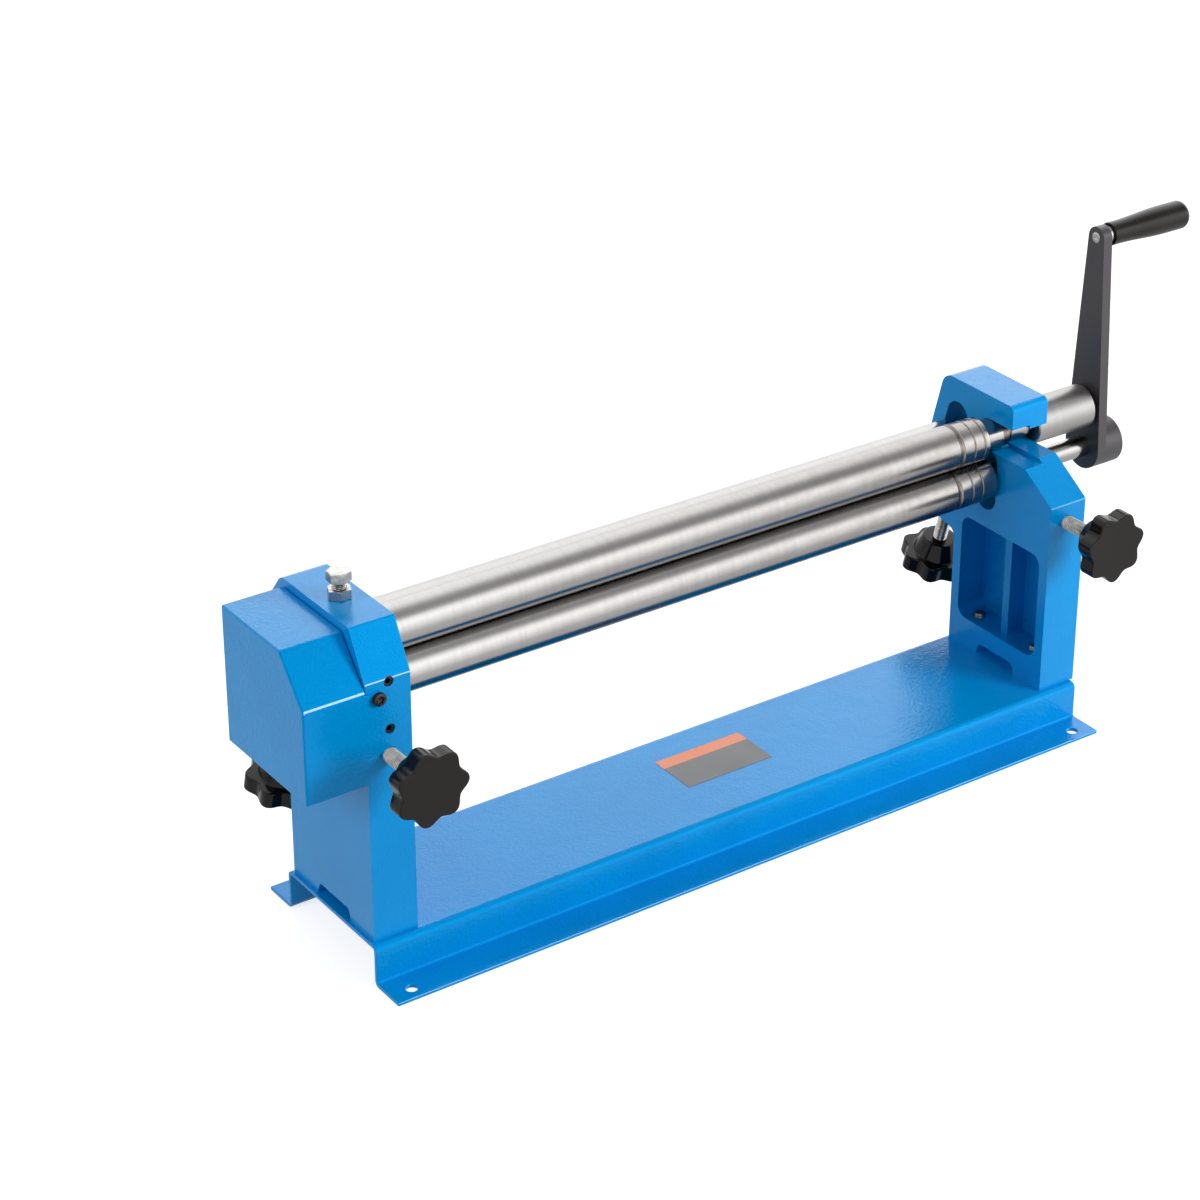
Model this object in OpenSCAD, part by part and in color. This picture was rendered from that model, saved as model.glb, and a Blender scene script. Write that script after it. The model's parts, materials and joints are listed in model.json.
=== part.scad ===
// Slip roll machine: three rolls between two cast housings on a folded base
// Origin: middle of the base on the bench, +X along the rolls to the crank, +Y to the rear

/* [Base] */
// Height of the base's top above the bench
base_h = 34; // [30:0.5:44]
// Width over the two foot flanges
base_w = 186; // [182:1:220]
// Width over the two webs of the base
channel_w = 127; // [122:1:134]
// Thickness of the base's sheet
sheet_t = 3; // [2.5:0.25:4]
// Outer radius of the base's bends
bend_r = 5; // [4.5:0.25:7]
// Diameter of a foot hole
foot_hole_d = 9; // [7:0.5:11]
// Distance from a foot hole's centre to the flange's edge
foot_hole_edge = 11; // [8:0.5:14]
// Distance from a foot hole's centre to the base's end
foot_hole_end = 18; // [12:1:30]

/* [Housings] */
// Clear distance between the two housings
side_gap = 602; // [400:1:800]
// Thickness of a housing
side_t = 37; // [35:0.5:42]
// Distance of the housings' front face ahead of the base's middle
side_front = 56.5; // [54:0.5:62]
// Distance of the housings' rear face behind the base's middle
side_rear = 59; // [56:0.5:62]
// How far the pair of housings stands to the right on the base
side_shift = 3; // [0:0.5:6]
// Metal of the left housing above the top roll's block
left_wall = 32.2; // [28:0.1:42]
// Metal of the right housing above its jaw
hook_wall = 20.4; // [14:0.1:26]
// Distance from the roll plane to the front of the right housing's hook
hook_front = 27.5; // [24:0.5:34]
// Distance from the roll plane to the front edge of the jaw's floor
jaw_front = 40.9; // [37:0.1:46]
// Height of the housings' front face above the base
front_face_h = 168; // [155:1:172]
// Thickness of a housing's outer wall behind its pocket
side_web = 10; // [8:0.5:13]
// Height of the pocket's floor above the base
pocket_floor_h = 26; // [20:0.5:32]
// Height of the pocket
pocket_h = 94; // [70:1:98]
// Wall round the pocket at its front and rear
pocket_wall = 9.5; // [8:0.5:14]
// Width of the pocket's rib
rib_w = 8; // [6:0.5:12]
// Distance between a housing's two fixing bolts
bolt_pitch = 70; // [60:1:76]
// Diameter of a fixing bolt
bolt_d = 10; // [8:1:12]

/* [Rolls] */
// Diameter of a roll
roll_d = 37; // [36:0.1:37.5]
// Gap between the two front rolls as drawn
roll_gap = 1; // [0.8:0.05:1.2]
// Height of the lower roll's axis above the base
lower_axis_h = 165.8; // [162:0.1:170]
// Distance of the front rolls' axes behind the base's middle
roll_y = 22.5; // [21:0.5:24]
// Distance of the rear roll's axis behind the front rolls' axes
rear_back = 46.5; // [45:0.1:50]
// Height of the rear roll's axis above the lower roll's axis
rear_rise = 15; // [12:0.1:17]
// Lean of the rear roll's slot from the vertical, in degrees
rear_lean = 15; // [12:0.5:16]
// Diameter of the lower roll's shaft and the rear roll's journals
shaft_d = 18; // [16.5:0.1:18.5]
// Diameter of the top roll's journal in the left housing
left_journal_d = 19; // [17.5:0.1:20]
// Diameter of the top roll's journal in the jaw
jaw_journal_d = 27; // [25:0.1:28]
// Diameter of the top roll's neck in the jaw
jaw_neck_d = 21; // [19:0.1:22]
// Length of the top roll's end beyond the right housing
roll_end_l = 61.5; // [30:0.5:90]
// Width of the widest wire groove
groove_w = 5; // [4:0.5:6]

/* [Lower roll setting] */
// Height of the front screws below the lower roll's axis
wedge_drop = 14.8; // [14.5:0.1:15.5]
// Travel of a front screw for each unit of lift
wedge_run = 3; // [2.9:0.05:3.3]
// How far the lower roll can rise from the drawn place
lift_up = 0.7; // [0.5:0.05:0.75]
// How far the lower roll can drop from the drawn place
lift_down = 2.5; // [1.5:0.1:2.7]

/* [Rear roll setting] */
// Distance from the rear roll's axis to the underside of the wing
wing_drop = 74.8; // [70:0.1:84]
// Distance from the rear slot's middle to the wing's rear edge
wing_half = 26.45; // [22:0.1:32]
// How far the rear roll can rise along its slot
rear_up = 24; // [18:0.5:24]
// How far the rear roll can drop along its slot
rear_down = 8; // [6:0.5:9]

/* [Top roll release] */
// Angle through which the top roll swings forward
swing_angle = 4; // [3.5:0.1:4]

/* [Screws and knobs] */
// Diameter of the four adjusting screws
screw_d = 12; // [11:0.5:12.5]
// Diameter of a knob over its lobes
knob_d = 60; // [52:0.5:74]
// Thickness of a knob's lobed part
knob_t = 14.5; // [12:0.5:24]
// Diameter of a knob's hub at its end
hub_d = 30; // [24:0.5:34]
// Distance from the front face to a front knob's hub
front_knob_gap = 29.2; // [14:0.1:40]
// Distance from the wing to a rear knob's hub
rear_knob_gap = 35.7; // [28:0.1:45]
// Diameter of the clamp bolt on the left housing
clamp_d = 10; // [8:0.5:10]
// Diameter of a block set screw
set_d = 8; // [6:0.5:9]
// Diameter of the cover's cap screw
cap_d = 6; // [5:0.5:7]

/* [Gears and cover] */
// Module of the gear teeth
gear_module = 2.5; // [2.4:0.02:2.54]
// Width of the gear teeth
gear_w = 12; // [8:0.5:13]
// Diameter of the shafts in the gears
gear_bore_d = 15; // [13:0.5:16]
// Depth of the gear cover from the left housing
cover_out = 50.3; // [46:0.1:60]
// Thickness of the cover's sheet
cover_t = 1.2; // [0.8:0.1:2]
// Height of the cover's lower edge above the base
cover_low_h = 132.9; // [120:0.1:136]
// Room between the top gear and the cover's upper face
cover_room = 17.95; // [13:0.05:18]

/* [Crank] */
// Distance from the lower roll's axis to the grip's axis
crank_throw = 187; // [120:1:188]
// Thickness of the crank's arm
arm_t = 9; // [7:0.5:12]
// Diameter of the crank's boss
boss_d = 40; // [34:0.5:46]
// Length of the crank's boss
boss_l = 28; // [22:0.5:34]
// Diameter of the arm's end at the grip
arm_end_d = 18.4; // [16:0.1:24]
// Distance from the top roll's end to the crank
crank_gap = 4.2; // [3:0.1:8]
// Length of the hand grip
grip_l = 82.8; // [60:0.1:120]
// Largest diameter of the hand grip
grip_d = 24; // [22:0.5:28]
// Diameter of the hand grip at the arm
grip_neck_d = 19.5; // [17:0.5:21]

/* [Hidden] */

// Colours of the finishes
blue = "#1a7fd0";
steel = "#c4c4c4";
zinc = "#d8d8d2";
black = "#2b2622";
iron = "#3a353a";
bronze = "#b08d57";

// Smoothness of round forms, and the steps of a rounded corner
$fn = 64;
corner_steps = 6;
// Extra length of every cut beyond the face it opens
over = 2;

// Clearances
run_fit = 0.05;
thread_fit = 0.1;
slide_fit = 0.2;
jaw_fit = 0.3;
face_gap = 0.3;

// Heights of the axes
lower_z = base_h + lower_axis_h;
top_z = lower_z + roll_d + roll_gap;
rear_y = roll_y + rear_back;
rear_z = lower_z + rear_rise;

// Faces of the housings along X
left_in = side_shift - side_gap / 2;
left_out = left_in - side_t;
right_in = side_shift + side_gap / 2;
right_out = right_in + side_t;
left_mid = (left_in + left_out) / 2;
right_mid = (right_in + right_out) / 2;
base_l = side_gap + 2 * side_t;

// Bearing blocks and the slots that guide them
block_wall = 2.8;
front_block_w = shaft_d + 2 * block_wall;
front_slot_r = front_block_w / 2 + slide_fit;
rear_block_wall = 3.8;
rear_block_w = shaft_d + 2 * rear_block_wall;
rear_slot_r = rear_block_w / 2 + slide_fit;
rear_block_wall_below = 7;
rear_block_foot = shaft_d / 2 + rear_block_wall_below;
slot_low_spare = 0.425;
slot_low = wedge_drop + lift_down + slot_low_spare;
slot_low_z = lower_z - slot_low;

// Jaw of the right housing
jaw_top = top_z + jaw_journal_d / 2 + jaw_fit;
jaw_floor = top_z - jaw_journal_d / 2 - jaw_fit;
neck_top = top_z + jaw_neck_d / 2 + jaw_fit;
neck_floor = top_z - jaw_neck_d / 2 - jaw_fit;
jaw_inner_share = 0.51;
jaw_inner_l = side_t * jaw_inner_share;
right_top = jaw_top + hook_wall;
slot_break = 1;
right_slot_top_z = jaw_floor + slot_break - front_slot_r;
left_slot_spare = 1.5;
left_slot_top_z = lower_z + lift_up + left_slot_spare;

// Window and block of the top roll in the left housing
top_block_half_h = 13;
top_block_front = 24.5;
top_block_rear = 12.4;
window_front_gap = 4.5;
left_top = top_z + top_block_half_h + face_gap + left_wall;

// Swing of the top roll about an upright line through the gears
gear_out = 23;
gear_mid = left_out - gear_out;

// Screws
wedge_z = lower_z - wedge_drop;
cone_tip_r = screw_d / 12;
cone_l = (screw_d / 2 - cone_tip_r) * wedge_run;
cone_start = 1.5;
knob_hub_l = 14.5;
knob_grip_l = 14;
front_knob_face = front_knob_gap + knob_hub_l + knob_t;
rear_knob_face = rear_knob_gap + knob_hub_l + knob_t;
knob_lobes = 7;
knob_wave_share = 0.042;
hub_root_share = 0.68;
knob_wave = knob_d * knob_wave_share;
hub_root_d = knob_d * hub_root_share;
front_left_turn = 0;
front_right_turn = -12;
rear_left_turn = 8;
rear_right_turn = 17;
knob_points = 84;

// Gears
gear_teeth = 15;
gear_pitch_r = gear_module * gear_teeth / 2;
pressure_angle = 20;
tooth_loose_share = 0.165;
tooth_root_share = 1.4;
gear_hub_wall = 6;
gear_hub_d = gear_bore_d + 2 * gear_hub_wall;
gear_hub_gap = 3;
gear_hub_end = left_out - gear_hub_gap;
key_w = gear_bore_d / 3;
key_l = 18;
key_end_gap = 2;
key_depth_share = 0.6;
key_depth = key_w * key_depth_share;
ring_t = 1;
ring_groove_share = 0.93;
ring_wall = 3.5;
ring_d = gear_bore_d + 2 * ring_wall;
shaft_tail = 5;

// Crank
roll_end_gap = 2;
roll_end_start = right_out + roll_end_gap;
roll_end_stop = roll_end_start + roll_end_l;
crank_x = roll_end_stop + crank_gap;
grip_z = lower_z + crank_throw;
pin_collar_l = 3.8;
pin_d = 10;
pin_rivet_d = 9;
pin_collar_d = 15;
pin_rivet_out = 0.8;
grip_wall = 6;

// Rolls: gaps from the barrels to the housings
barrel_left_gap = 2;
top_barrel_gap = 14;
lower_barrel_gap = 4;
groove_share = [0, 2.62, 4.68];
groove_from_side = 43.1;
narrow_share = 0.4;
groove_depth_share = 0.05;

// Direction along the rear slot, and square to it
function up_slot(d) = [-d * sin(rear_lean), d * cos(rear_lean)];
function off_slot(d) = [d * cos(rear_lean), d * sin(rear_lean)];

// A corner [y, z, r] becomes an arc of radius r between its neighbours
function unit(v) = v / norm(v);
function turn(a, b) = (b - a + 540) % 360 - 180;
function xy(c) = [c[0], c[1]];
function corner_arc(a, p, b) =
    p[2] == 0 ? [xy(p)] :
    let (
        u = unit(xy(a) - xy(p)),
        w = unit(xy(b) - xy(p)),
        half = acos(u * w) / 2,
        m = xy(p) + unit(u + w) * p[2] / sin(half),
        s = xy(p) + u * p[2] / tan(half) - m,
        e = xy(p) + w * p[2] / tan(half) - m,
        from = atan2(s[1], s[0]),
        by = turn(from, atan2(e[1], e[0]))
    )
    [for (i = [0:corner_steps]) m + p[2] * [cos(from + by * i / corner_steps),
                                           sin(from + by * i / corner_steps)]];
function rounded(c) =
    let (n = len(c))
    [for (i = [0:n - 1]) each corner_arc(c[(i + n - 1) % n], c[i], c[(i + 1) % n])];

// Same outline drawn in by a wall t, for an outline that runs clockwise
function side_normal(a, b) = let (d = unit(b - a)) [d[1], -d[0]];
function inset(c, t) =
    let (n = len(c))
    [for (i = [0:n - 1])
        let (
            n1 = side_normal(c[(i + n - 1) % n], c[i]),
            n2 = side_normal(c[i], c[(i + 1) % n])
        )
        c[i] + (n1 + n2) * t / (1 + n1 * n2)];

// A flat outline in Y and Z, drawn out along X from x0 to x1
module plate(x0, x1) {
    translate([x0, 0, 0]) rotate([90, 0, 90]) linear_extrude(x1 - x0) children();
}

// A round bar along X
module bar(x0, x1, d, y, z) {
    translate([x0, y, z]) rotate([0, 90, 0]) cylinder(d = d, h = x1 - x0);
}

// Frames with +Z along a front screw, from the front face, and up the rear slot
module front_line(x) {
    translate([x, -side_front, wedge_z]) rotate([-90, 0, 0]) children();
}
module rear_line(x) {
    translate([x, rear_y, rear_z]) rotate([rear_lean, 0, 0]) children();
}

// Slot with round ends along Z, from z0 to z1 between the arcs' centres
module slot_shape(r, z0, z1) {
    translate([0, z0]) circle(r);
    translate([0, z1]) circle(r);
    translate([-r, z0]) square([2 * r, z1 - z0]);
}

// Base: folded sheet with two foot flanges
module base_outline() {
    foot = base_w / 2;
    web = channel_w / 2;
    inner_r = bend_r - sheet_t;
    polygon(rounded([
        [-foot, 0, 0], [-web + sheet_t, 0, bend_r], [-web + sheet_t, base_h - sheet_t, inner_r],
        [web - sheet_t, base_h - sheet_t, inner_r], [web - sheet_t, 0, bend_r], [foot, 0, 0],
        [foot, sheet_t, 0], [web, sheet_t, inner_r], [web, base_h, bend_r],
        [-web, base_h, bend_r], [-web, sheet_t, inner_r], [-foot, sheet_t, 0],
    ]));
}
module foot_holes() {
    for (x = [-1, 1], y = [-1, 1])
        translate([x * (base_l / 2 - foot_hole_end), y * (base_w / 2 - foot_hole_edge), -over])
            cylinder(d = foot_hole_d, h = sheet_t + 2 * over);
}
module at_bolts() {
    middle = (side_rear - side_front) / 2;
    pocket_mid = (side_t - side_web) / 2;
    for (x = [left_in - pocket_mid, right_in + pocket_mid], y = [-1, 1])
        translate([x, middle + y * bolt_pitch / 2, 0]) children();
}
module base_channel() {
    color(blue) difference() {
        plate(-base_l / 2, base_l / 2) base_outline();
        foot_holes();
        at_bolts() translate([0, 0, base_h - sheet_t - over])
            cylinder(d = bolt_d + 2 * thread_fit, h = sheet_t + 2 * over);
    }
}

// Housing fixings: hex bolts from below, ends standing in the pockets
washer_t = 2;
bolt_end_out = 3;
bolt_head_h_share = 0.64;
hex_af_share = 1.6;
bolt_head_h = bolt_d * bolt_head_h_share;
bolt_head_af = bolt_d * hex_af_share;
module hex_head(af, h) {
    cylinder(r = af / sqrt(3), h = h, $fn = 6);
}
module housing_bolts() {
    under = base_h - sheet_t - washer_t;
    color(zinc) at_bolts() {
        translate([0, 0, under - bolt_head_h]) hex_head(bolt_head_af, bolt_head_h);
        translate([0, 0, under - over])
            cylinder(d = bolt_d, h = base_h + pocket_floor_h + bolt_end_out - under + over);
    }
}
module housing_washers() {
    color(zinc) at_bolts() translate([0, 0, base_h - sheet_t - washer_t]) difference() {
        cylinder(d = 2 * bolt_d, h = washer_t);
        translate([0, 0, -over]) cylinder(d = bolt_d + 2 * thread_fit, h = washer_t + 2 * over);
    }
}

// Outline of the lower part of a housing, shared by both, from the front foot
wing_corner_r = 4;
wing_low = [rear_y, rear_z] + up_slot(-wing_drop) + off_slot(wing_half);
wing_root_z = wing_low[1] - (wing_low[0] - side_rear) * tan(rear_lean);
wing_root_r = 8;
function wing_at(z) = wing_low[0] - (z - wing_low[1]) * tan(rear_lean);

// Left housing: top, front chamfer and rear chamfer
left_chamfer_w = 19.5;
left_chamfer_h = 36.8;
left_rear_w = 1;
left_rear_h = 37.3;
left_rear_r = 10;
left_edge_r = 2;
module left_outline() {
    rear_top_z = left_top - left_rear_h;
    polygon(rounded([
        [-side_front, base_h, 0], [side_rear, base_h, 0], [side_rear, wing_root_z, wing_root_r],
        [wing_low[0], wing_low[1], wing_corner_r], [wing_at(rear_top_z), rear_top_z, left_rear_r],
        [side_rear - left_rear_w, left_top, left_rear_r],
        [-side_front + left_chamfer_w, left_top, left_edge_r],
        [-side_front, left_top - left_chamfer_h, left_edge_r],
    ]));
}

// Right housing: hook over the jaw
hook_r = 6;
hook_rear_r = 13;
jaw_edge_r = 2;
module right_outline() {
    polygon(rounded([
        [-side_front, base_h, 0], [side_rear, base_h, 0], [side_rear, wing_root_z, wing_root_r],
        [wing_low[0], wing_low[1], wing_corner_r], [wing_at(right_top), right_top, hook_rear_r],
        [roll_y - hook_front, right_top, hook_r], [roll_y - hook_front, neck_floor, 0],
        [roll_y - jaw_front, neck_floor, jaw_edge_r],
        [-side_front, base_h + front_face_h, jaw_edge_r],
    ]));
}

// Pocket on a housing's inner face, and the rib that parts it
pocket_r = 10;
rib_back = 10;
module pocket(face, dir) {
    y0 = -side_front + pocket_wall;
    y1 = side_rear - pocket_wall;
    z0 = base_h + pocket_floor_h;
    deep = side_t - side_web;
    mid = (y0 + y1) / 2;
    x_in = face - dir * over;
    x_rib = face + dir * rib_back;
    x_web = face + dir * deep;
    difference() {
        plate(min(x_in, x_web), max(x_in, x_web)) polygon(rounded([
            [y0, z0, pocket_r], [y1, z0, pocket_r],
            [y1, z0 + pocket_h, pocket_r], [y0, z0 + pocket_h, pocket_r],
        ]));
        plate(min(x_rib, x_web), max(x_rib, x_web) + over)
            translate([mid - rib_w / 2, z0 - over]) square([rib_w, pocket_h + 2 * over]);
    }
}

// Notch under a housing
notch_w = 48;
notch_h = 9.7;
notch_r = 4;
notch_lean_share = 0.34;
module notch(x0, x1) {
    lean = notch_h * notch_lean_share;
    plate(x0 - over, x1 + over) polygon(rounded([
        [-notch_w / 2 - lean * over / notch_h, base_h - over, 0],
        [notch_w / 2 + lean * over / notch_h, base_h - over, 0],
        [notch_w / 2 - lean, base_h + notch_h, notch_r],
        [-notch_w / 2 + lean, base_h + notch_h, notch_r],
    ]));
}

// Cuts that both housings have: slots, screw holes and bolt holes
rear_slot_spare = 0.95;
module common_cuts(x0, x1, front_top_z) {
    low = -(rear_down + rear_block_foot + 2 * slide_fit);
    notch(x0, x1);
    plate(x0 - over, x1 + over) translate([roll_y, 0])
        slot_shape(front_slot_r, slot_low_z, front_top_z);
    translate([x0 - over, rear_y, rear_z]) rotate([rear_lean, 0, 0]) rotate([90, 0, 90])
        linear_extrude(x1 - x0 + 2 * over)
            slot_shape(rear_slot_r, low, rear_up + rear_slot_spare);
    front_line((x0 + x1) / 2) translate([0, 0, -over])
        cylinder(d = screw_d + 2 * thread_fit, h = side_front + roll_y + over);
    rear_line((x0 + x1) / 2) translate([0, 0, -wing_drop - over])
        cylinder(d = screw_d + 2 * thread_fit, h = wing_drop + low + over);
    at_bolts() translate([0, 0, base_h - over])
        cylinder(d = bolt_d + 2 * thread_fit, h = pocket_floor_h + 2 * over);
}

// Clamp bolt, set screws and cap screw of the left housing
clamp_forward = 16;
clamp_y = roll_y - clamp_forward;
set_right = 0.9;
set_above = 6;
set_x = left_mid + set_right;
upper_set_z = top_z + set_above;
lower_set_z = lower_z + set_above;
cap_left = 8.7;
cap_below = 3.8;
cap_x = left_mid - cap_left;
cap_z = top_z - cap_below;
cap_l = 22;
window_front = roll_y - top_block_front - window_front_gap;
module left_housing() {
    color(blue) difference() {
        plate(left_out, left_in) left_outline();
        pocket(left_in, -1);
        common_cuts(left_out, left_in, left_slot_top_z);
        plate(left_out - over, left_in + over)
            translate([window_front, top_z - top_block_half_h - face_gap])
                square([top_block_front + window_front_gap + top_block_rear + face_gap,
                        2 * (top_block_half_h + face_gap)]);
        translate([left_mid, clamp_y, top_z])
            cylinder(d = clamp_d + 2 * thread_fit, h = left_top - top_z + over);
        translate([set_x, -side_front - over, upper_set_z]) rotate([-90, 0, 0])
            cylinder(d = set_d + 2 * thread_fit, h = side_front + window_front + 2 * over);
        translate([set_x, -side_front - over, lower_set_z]) rotate([-90, 0, 0])
            cylinder(d = set_d + 2 * thread_fit, h = side_front + roll_y);
        translate([cap_x, -side_front - over, cap_z]) rotate([-90, 0, 0])
            cylinder(d = cap_d + 2 * thread_fit, h = cap_l + 2 * over);
    }
}
module right_housing() {
    jaw_step = right_in + jaw_inner_l;
    color(blue) difference() {
        plate(right_in, right_out) right_outline();
        pocket(right_in, 1);
        common_cuts(right_in, right_out, right_slot_top_z);
        plate(right_in - over, jaw_step) {
            translate([-side_front - over, jaw_floor])
                square([side_front + over + roll_y, jaw_top - jaw_floor]);
            translate([roll_y, top_z]) circle((jaw_top - jaw_floor) / 2);
        }
        plate(jaw_step - over, right_out + over) {
            translate([-side_front - over, neck_floor])
                square([side_front + over + roll_y, neck_top - neck_floor]);
            translate([roll_y, top_z]) circle((neck_top - neck_floor) / 2);
        }
    }
}

// Hex socket at the origin, sunk along -Z
module socket(af, depth) {
    translate([0, 0, -depth]) cylinder(r = af / sqrt(3), h = depth + over, $fn = 6);
}
module set_screw(d, l) {
    difference() {
        cylinder(d = d, h = l);
        mirror([0, 0, 1]) socket(d / 2, d / 2);
    }
}
set_sunk = 1.5;
set_stop_out = window_front_gap - (set_x - gear_mid) * sin(swing_angle) - 2 * face_gap;
module block_set_screws() {
    upper_tip = window_front + set_stop_out;
    lower_tip = roll_y - front_slot_r;
    color(iron) {
        translate([set_x, -side_front + set_sunk, upper_set_z]) rotate([-90, 0, 0])
            set_screw(set_d, upper_tip + side_front - set_sunk);
        translate([set_x, -side_front + set_sunk, lower_set_z]) rotate([-90, 0, 0])
            set_screw(set_d, lower_tip + side_front - set_sunk);
    }
}

// Clamp bolt: its end stands just over the top block
clamp_nut_share = 0.8;
clamp_free_share = 0.55;
clamp_nut_h = clamp_d * clamp_nut_share;
clamp_nut_af = clamp_d * hex_af_share;
clamp_head_z = left_top + clamp_nut_h + clamp_d * clamp_free_share;
clamp_head_h = clamp_nut_h;
module clamp_bolt() {
    tip = top_z + top_block_half_h + face_gap;
    color(zinc) translate([left_mid, clamp_y, 0]) {
        translate([0, 0, tip]) cylinder(d = clamp_d, h = clamp_head_z - tip + face_gap);
        translate([0, 0, clamp_head_z]) hex_head(clamp_nut_af, clamp_head_h);
    }
}
module clamp_jam_nut() {
    color(zinc) translate([left_mid, clamp_y, left_top]) difference() {
        hex_head(clamp_nut_af, clamp_nut_h);
        translate([0, 0, -over])
            cylinder(d = clamp_d + 2 * thread_fit, h = clamp_nut_h + 2 * over);
    }
}

// Gear cover: folded sheet, open to the housing and below
cover_gap = 1;
cover_rear_in = 4.1;
cover_rear = side_rear - cover_rear_in;
cover_top = top_z + gear_pitch_r + gear_module + cover_room;
cover_chamfer_w = 29.9;
cover_chamfer_h = 35.4;
flange_top_gap = 4.2;
flange_low_gap = 9.5;
flange_low_h = 22.1;
flange_over_cap = 4.8;
flange_corner_r = 3;
function cover_points() = [
    [-side_front - cover_t, base_h + cover_low_h],
    [-side_front - cover_t, cover_top - cover_chamfer_h],
    [-side_front - cover_t + cover_chamfer_w, cover_top],
    [cover_rear, cover_top],
    [cover_rear, base_h + cover_low_h],
];
module front_flange() {
    low = base_h + cover_low_h;
    high = cap_z + flange_over_cap;
    polygon(rounded([
        [left_out - cover_gap - over, low, 0], [left_out - cover_gap, low, 0],
        [left_mid - flange_low_gap, low + flange_low_h, flange_corner_r],
        [left_mid - flange_top_gap, high, flange_corner_r],
        [left_out - cover_gap - over, high, 0],
    ]));
}
module gear_cover() {
    outer = cover_points();
    inner = inset(outer, cover_t);
    left = left_out - cover_out;
    color(blue) difference() {
        union() {
            difference() {
                plate(left, left_out - cover_gap) polygon(outer);
                plate(left + cover_t, left_out) polygon([
                    [inner[0][0], inner[0][1] - 2 * over], inner[1], inner[2], inner[3],
                    [inner[4][0], inner[4][1] - 2 * over],
                ]);
            }
            translate([0, -side_front, 0]) rotate([90, 0, 0]) linear_extrude(cover_t)
                front_flange();
        }
        translate([cap_x, -side_front + over, cap_z]) rotate([90, 0, 0])
            cylinder(d = cap_d + 2 * thread_fit, h = cover_t + 2 * over);
    }
}
cap_head_share = 1.667;
cap_head_h_share = 0.667;
cap_socket_share = 0.83;
module cover_screw() {
    head_h = cap_d * cap_head_h_share;
    color(iron) translate([cap_x, -side_front - cover_t, cap_z]) rotate([-90, 0, 0]) {
        difference() {
            translate([0, 0, -head_h]) cylinder(d = cap_d * cap_head_share, h = head_h);
            translate([0, 0, -head_h]) mirror([0, 0, 1])
                socket(cap_d * cap_socket_share, head_h / 2);
        }
        translate([0, 0, -face_gap]) cylinder(d = cap_d, h = cap_l + cover_t + face_gap);
    }
}

// Bearing blocks
module top_left_block() {
    color(bronze) difference() {
        plate(left_out, left_in) translate([roll_y - top_block_front, top_z - top_block_half_h])
            square([top_block_front + top_block_rear, 2 * top_block_half_h]);
        bar(left_out - over, left_in + over, left_journal_d + 2 * run_fit, roll_y, top_z);
    }
}
module front_block(x0, x1) {
    start = roll_y - front_slot_r + cone_start;
    high = wedge_z + screw_d / 2 + face_gap;
    half = front_block_w / 2;
    color(bronze) difference() {
        plate(x0, x1) {
            intersection() {
                translate([roll_y, lower_z]) circle(half);
                translate([roll_y - half, lower_z]) square([2 * half, half]);
            }
            polygon([
                [roll_y - half, lower_z],
                [roll_y - half, high - (roll_y - half - start) / wedge_run],
                [roll_y + half, high - (roll_y + half - start) / wedge_run],
                [roll_y + half, lower_z],
            ]);
        }
        bar(x0 - over, x1 + over, shaft_d + 2 * run_fit, roll_y, lower_z);
    }
}
module rear_block(x0, x1) {
    half = rear_block_w / 2;
    color(bronze) translate([x0, rear_y, rear_z]) rotate([rear_lean, 0, 0]) rotate([90, 0, 90])
        linear_extrude(x1 - x0) difference() {
            union() {
                circle(half);
                translate([-half, -rear_block_foot]) square([2 * half, rear_block_foot]);
            }
            circle(d = shaft_d + 2 * run_fit);
        }
}
module lower_left_block() { front_block(left_out, left_in); }
module lower_right_block() { front_block(right_in, right_out); }
module rear_left_block() { rear_block(left_out, left_in); }
module rear_right_block() { rear_block(right_in, right_out); }

// Gear seat on a shaft's left end, with its keyway and ring groove
seat_end = gear_mid - gear_w / 2 - shaft_tail;
ring_x = gear_mid - gear_w / 2 - ring_t - run_fit;
key_x = gear_hub_end - key_l - key_end_gap;
module gear_seat_cuts(z) {
    translate([key_x, roll_y - key_w / 2, z + gear_bore_d / 2 - key_depth])
        cube([key_l, key_w, key_depth + over]);
    difference() {
        bar(ring_x - run_fit, ring_x + ring_t + run_fit, gear_bore_d + 2 * over, roll_y, z);
        bar(ring_x - over, ring_x + ring_t + over, gear_bore_d * ring_groove_share, roll_y, z);
    }
}
module gear_key(z) {
    color(steel) translate([key_x, roll_y - key_w / 2, z + gear_bore_d / 2 - key_depth])
        cube([key_l, key_w, key_w]);
}
module gear_ring(z) {
    ring_bore = gear_bore_d * ring_groove_share + 2 * run_fit;
    color(iron) difference() {
        bar(ring_x, ring_x + ring_t, ring_d, roll_y, z);
        bar(ring_x - over, ring_x + ring_t + over, ring_bore, roll_y, z);
        translate([ring_x - over, roll_y - key_w / 2, z - ring_d])
            cube([ring_t + 2 * over, key_w, ring_d]);
    }
}
module top_gear_key() { gear_key(top_z); }
module lower_gear_key() { gear_key(lower_z); }
module top_gear_ring() { gear_ring(top_z); }
module lower_gear_ring() { gear_ring(lower_z); }

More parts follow.
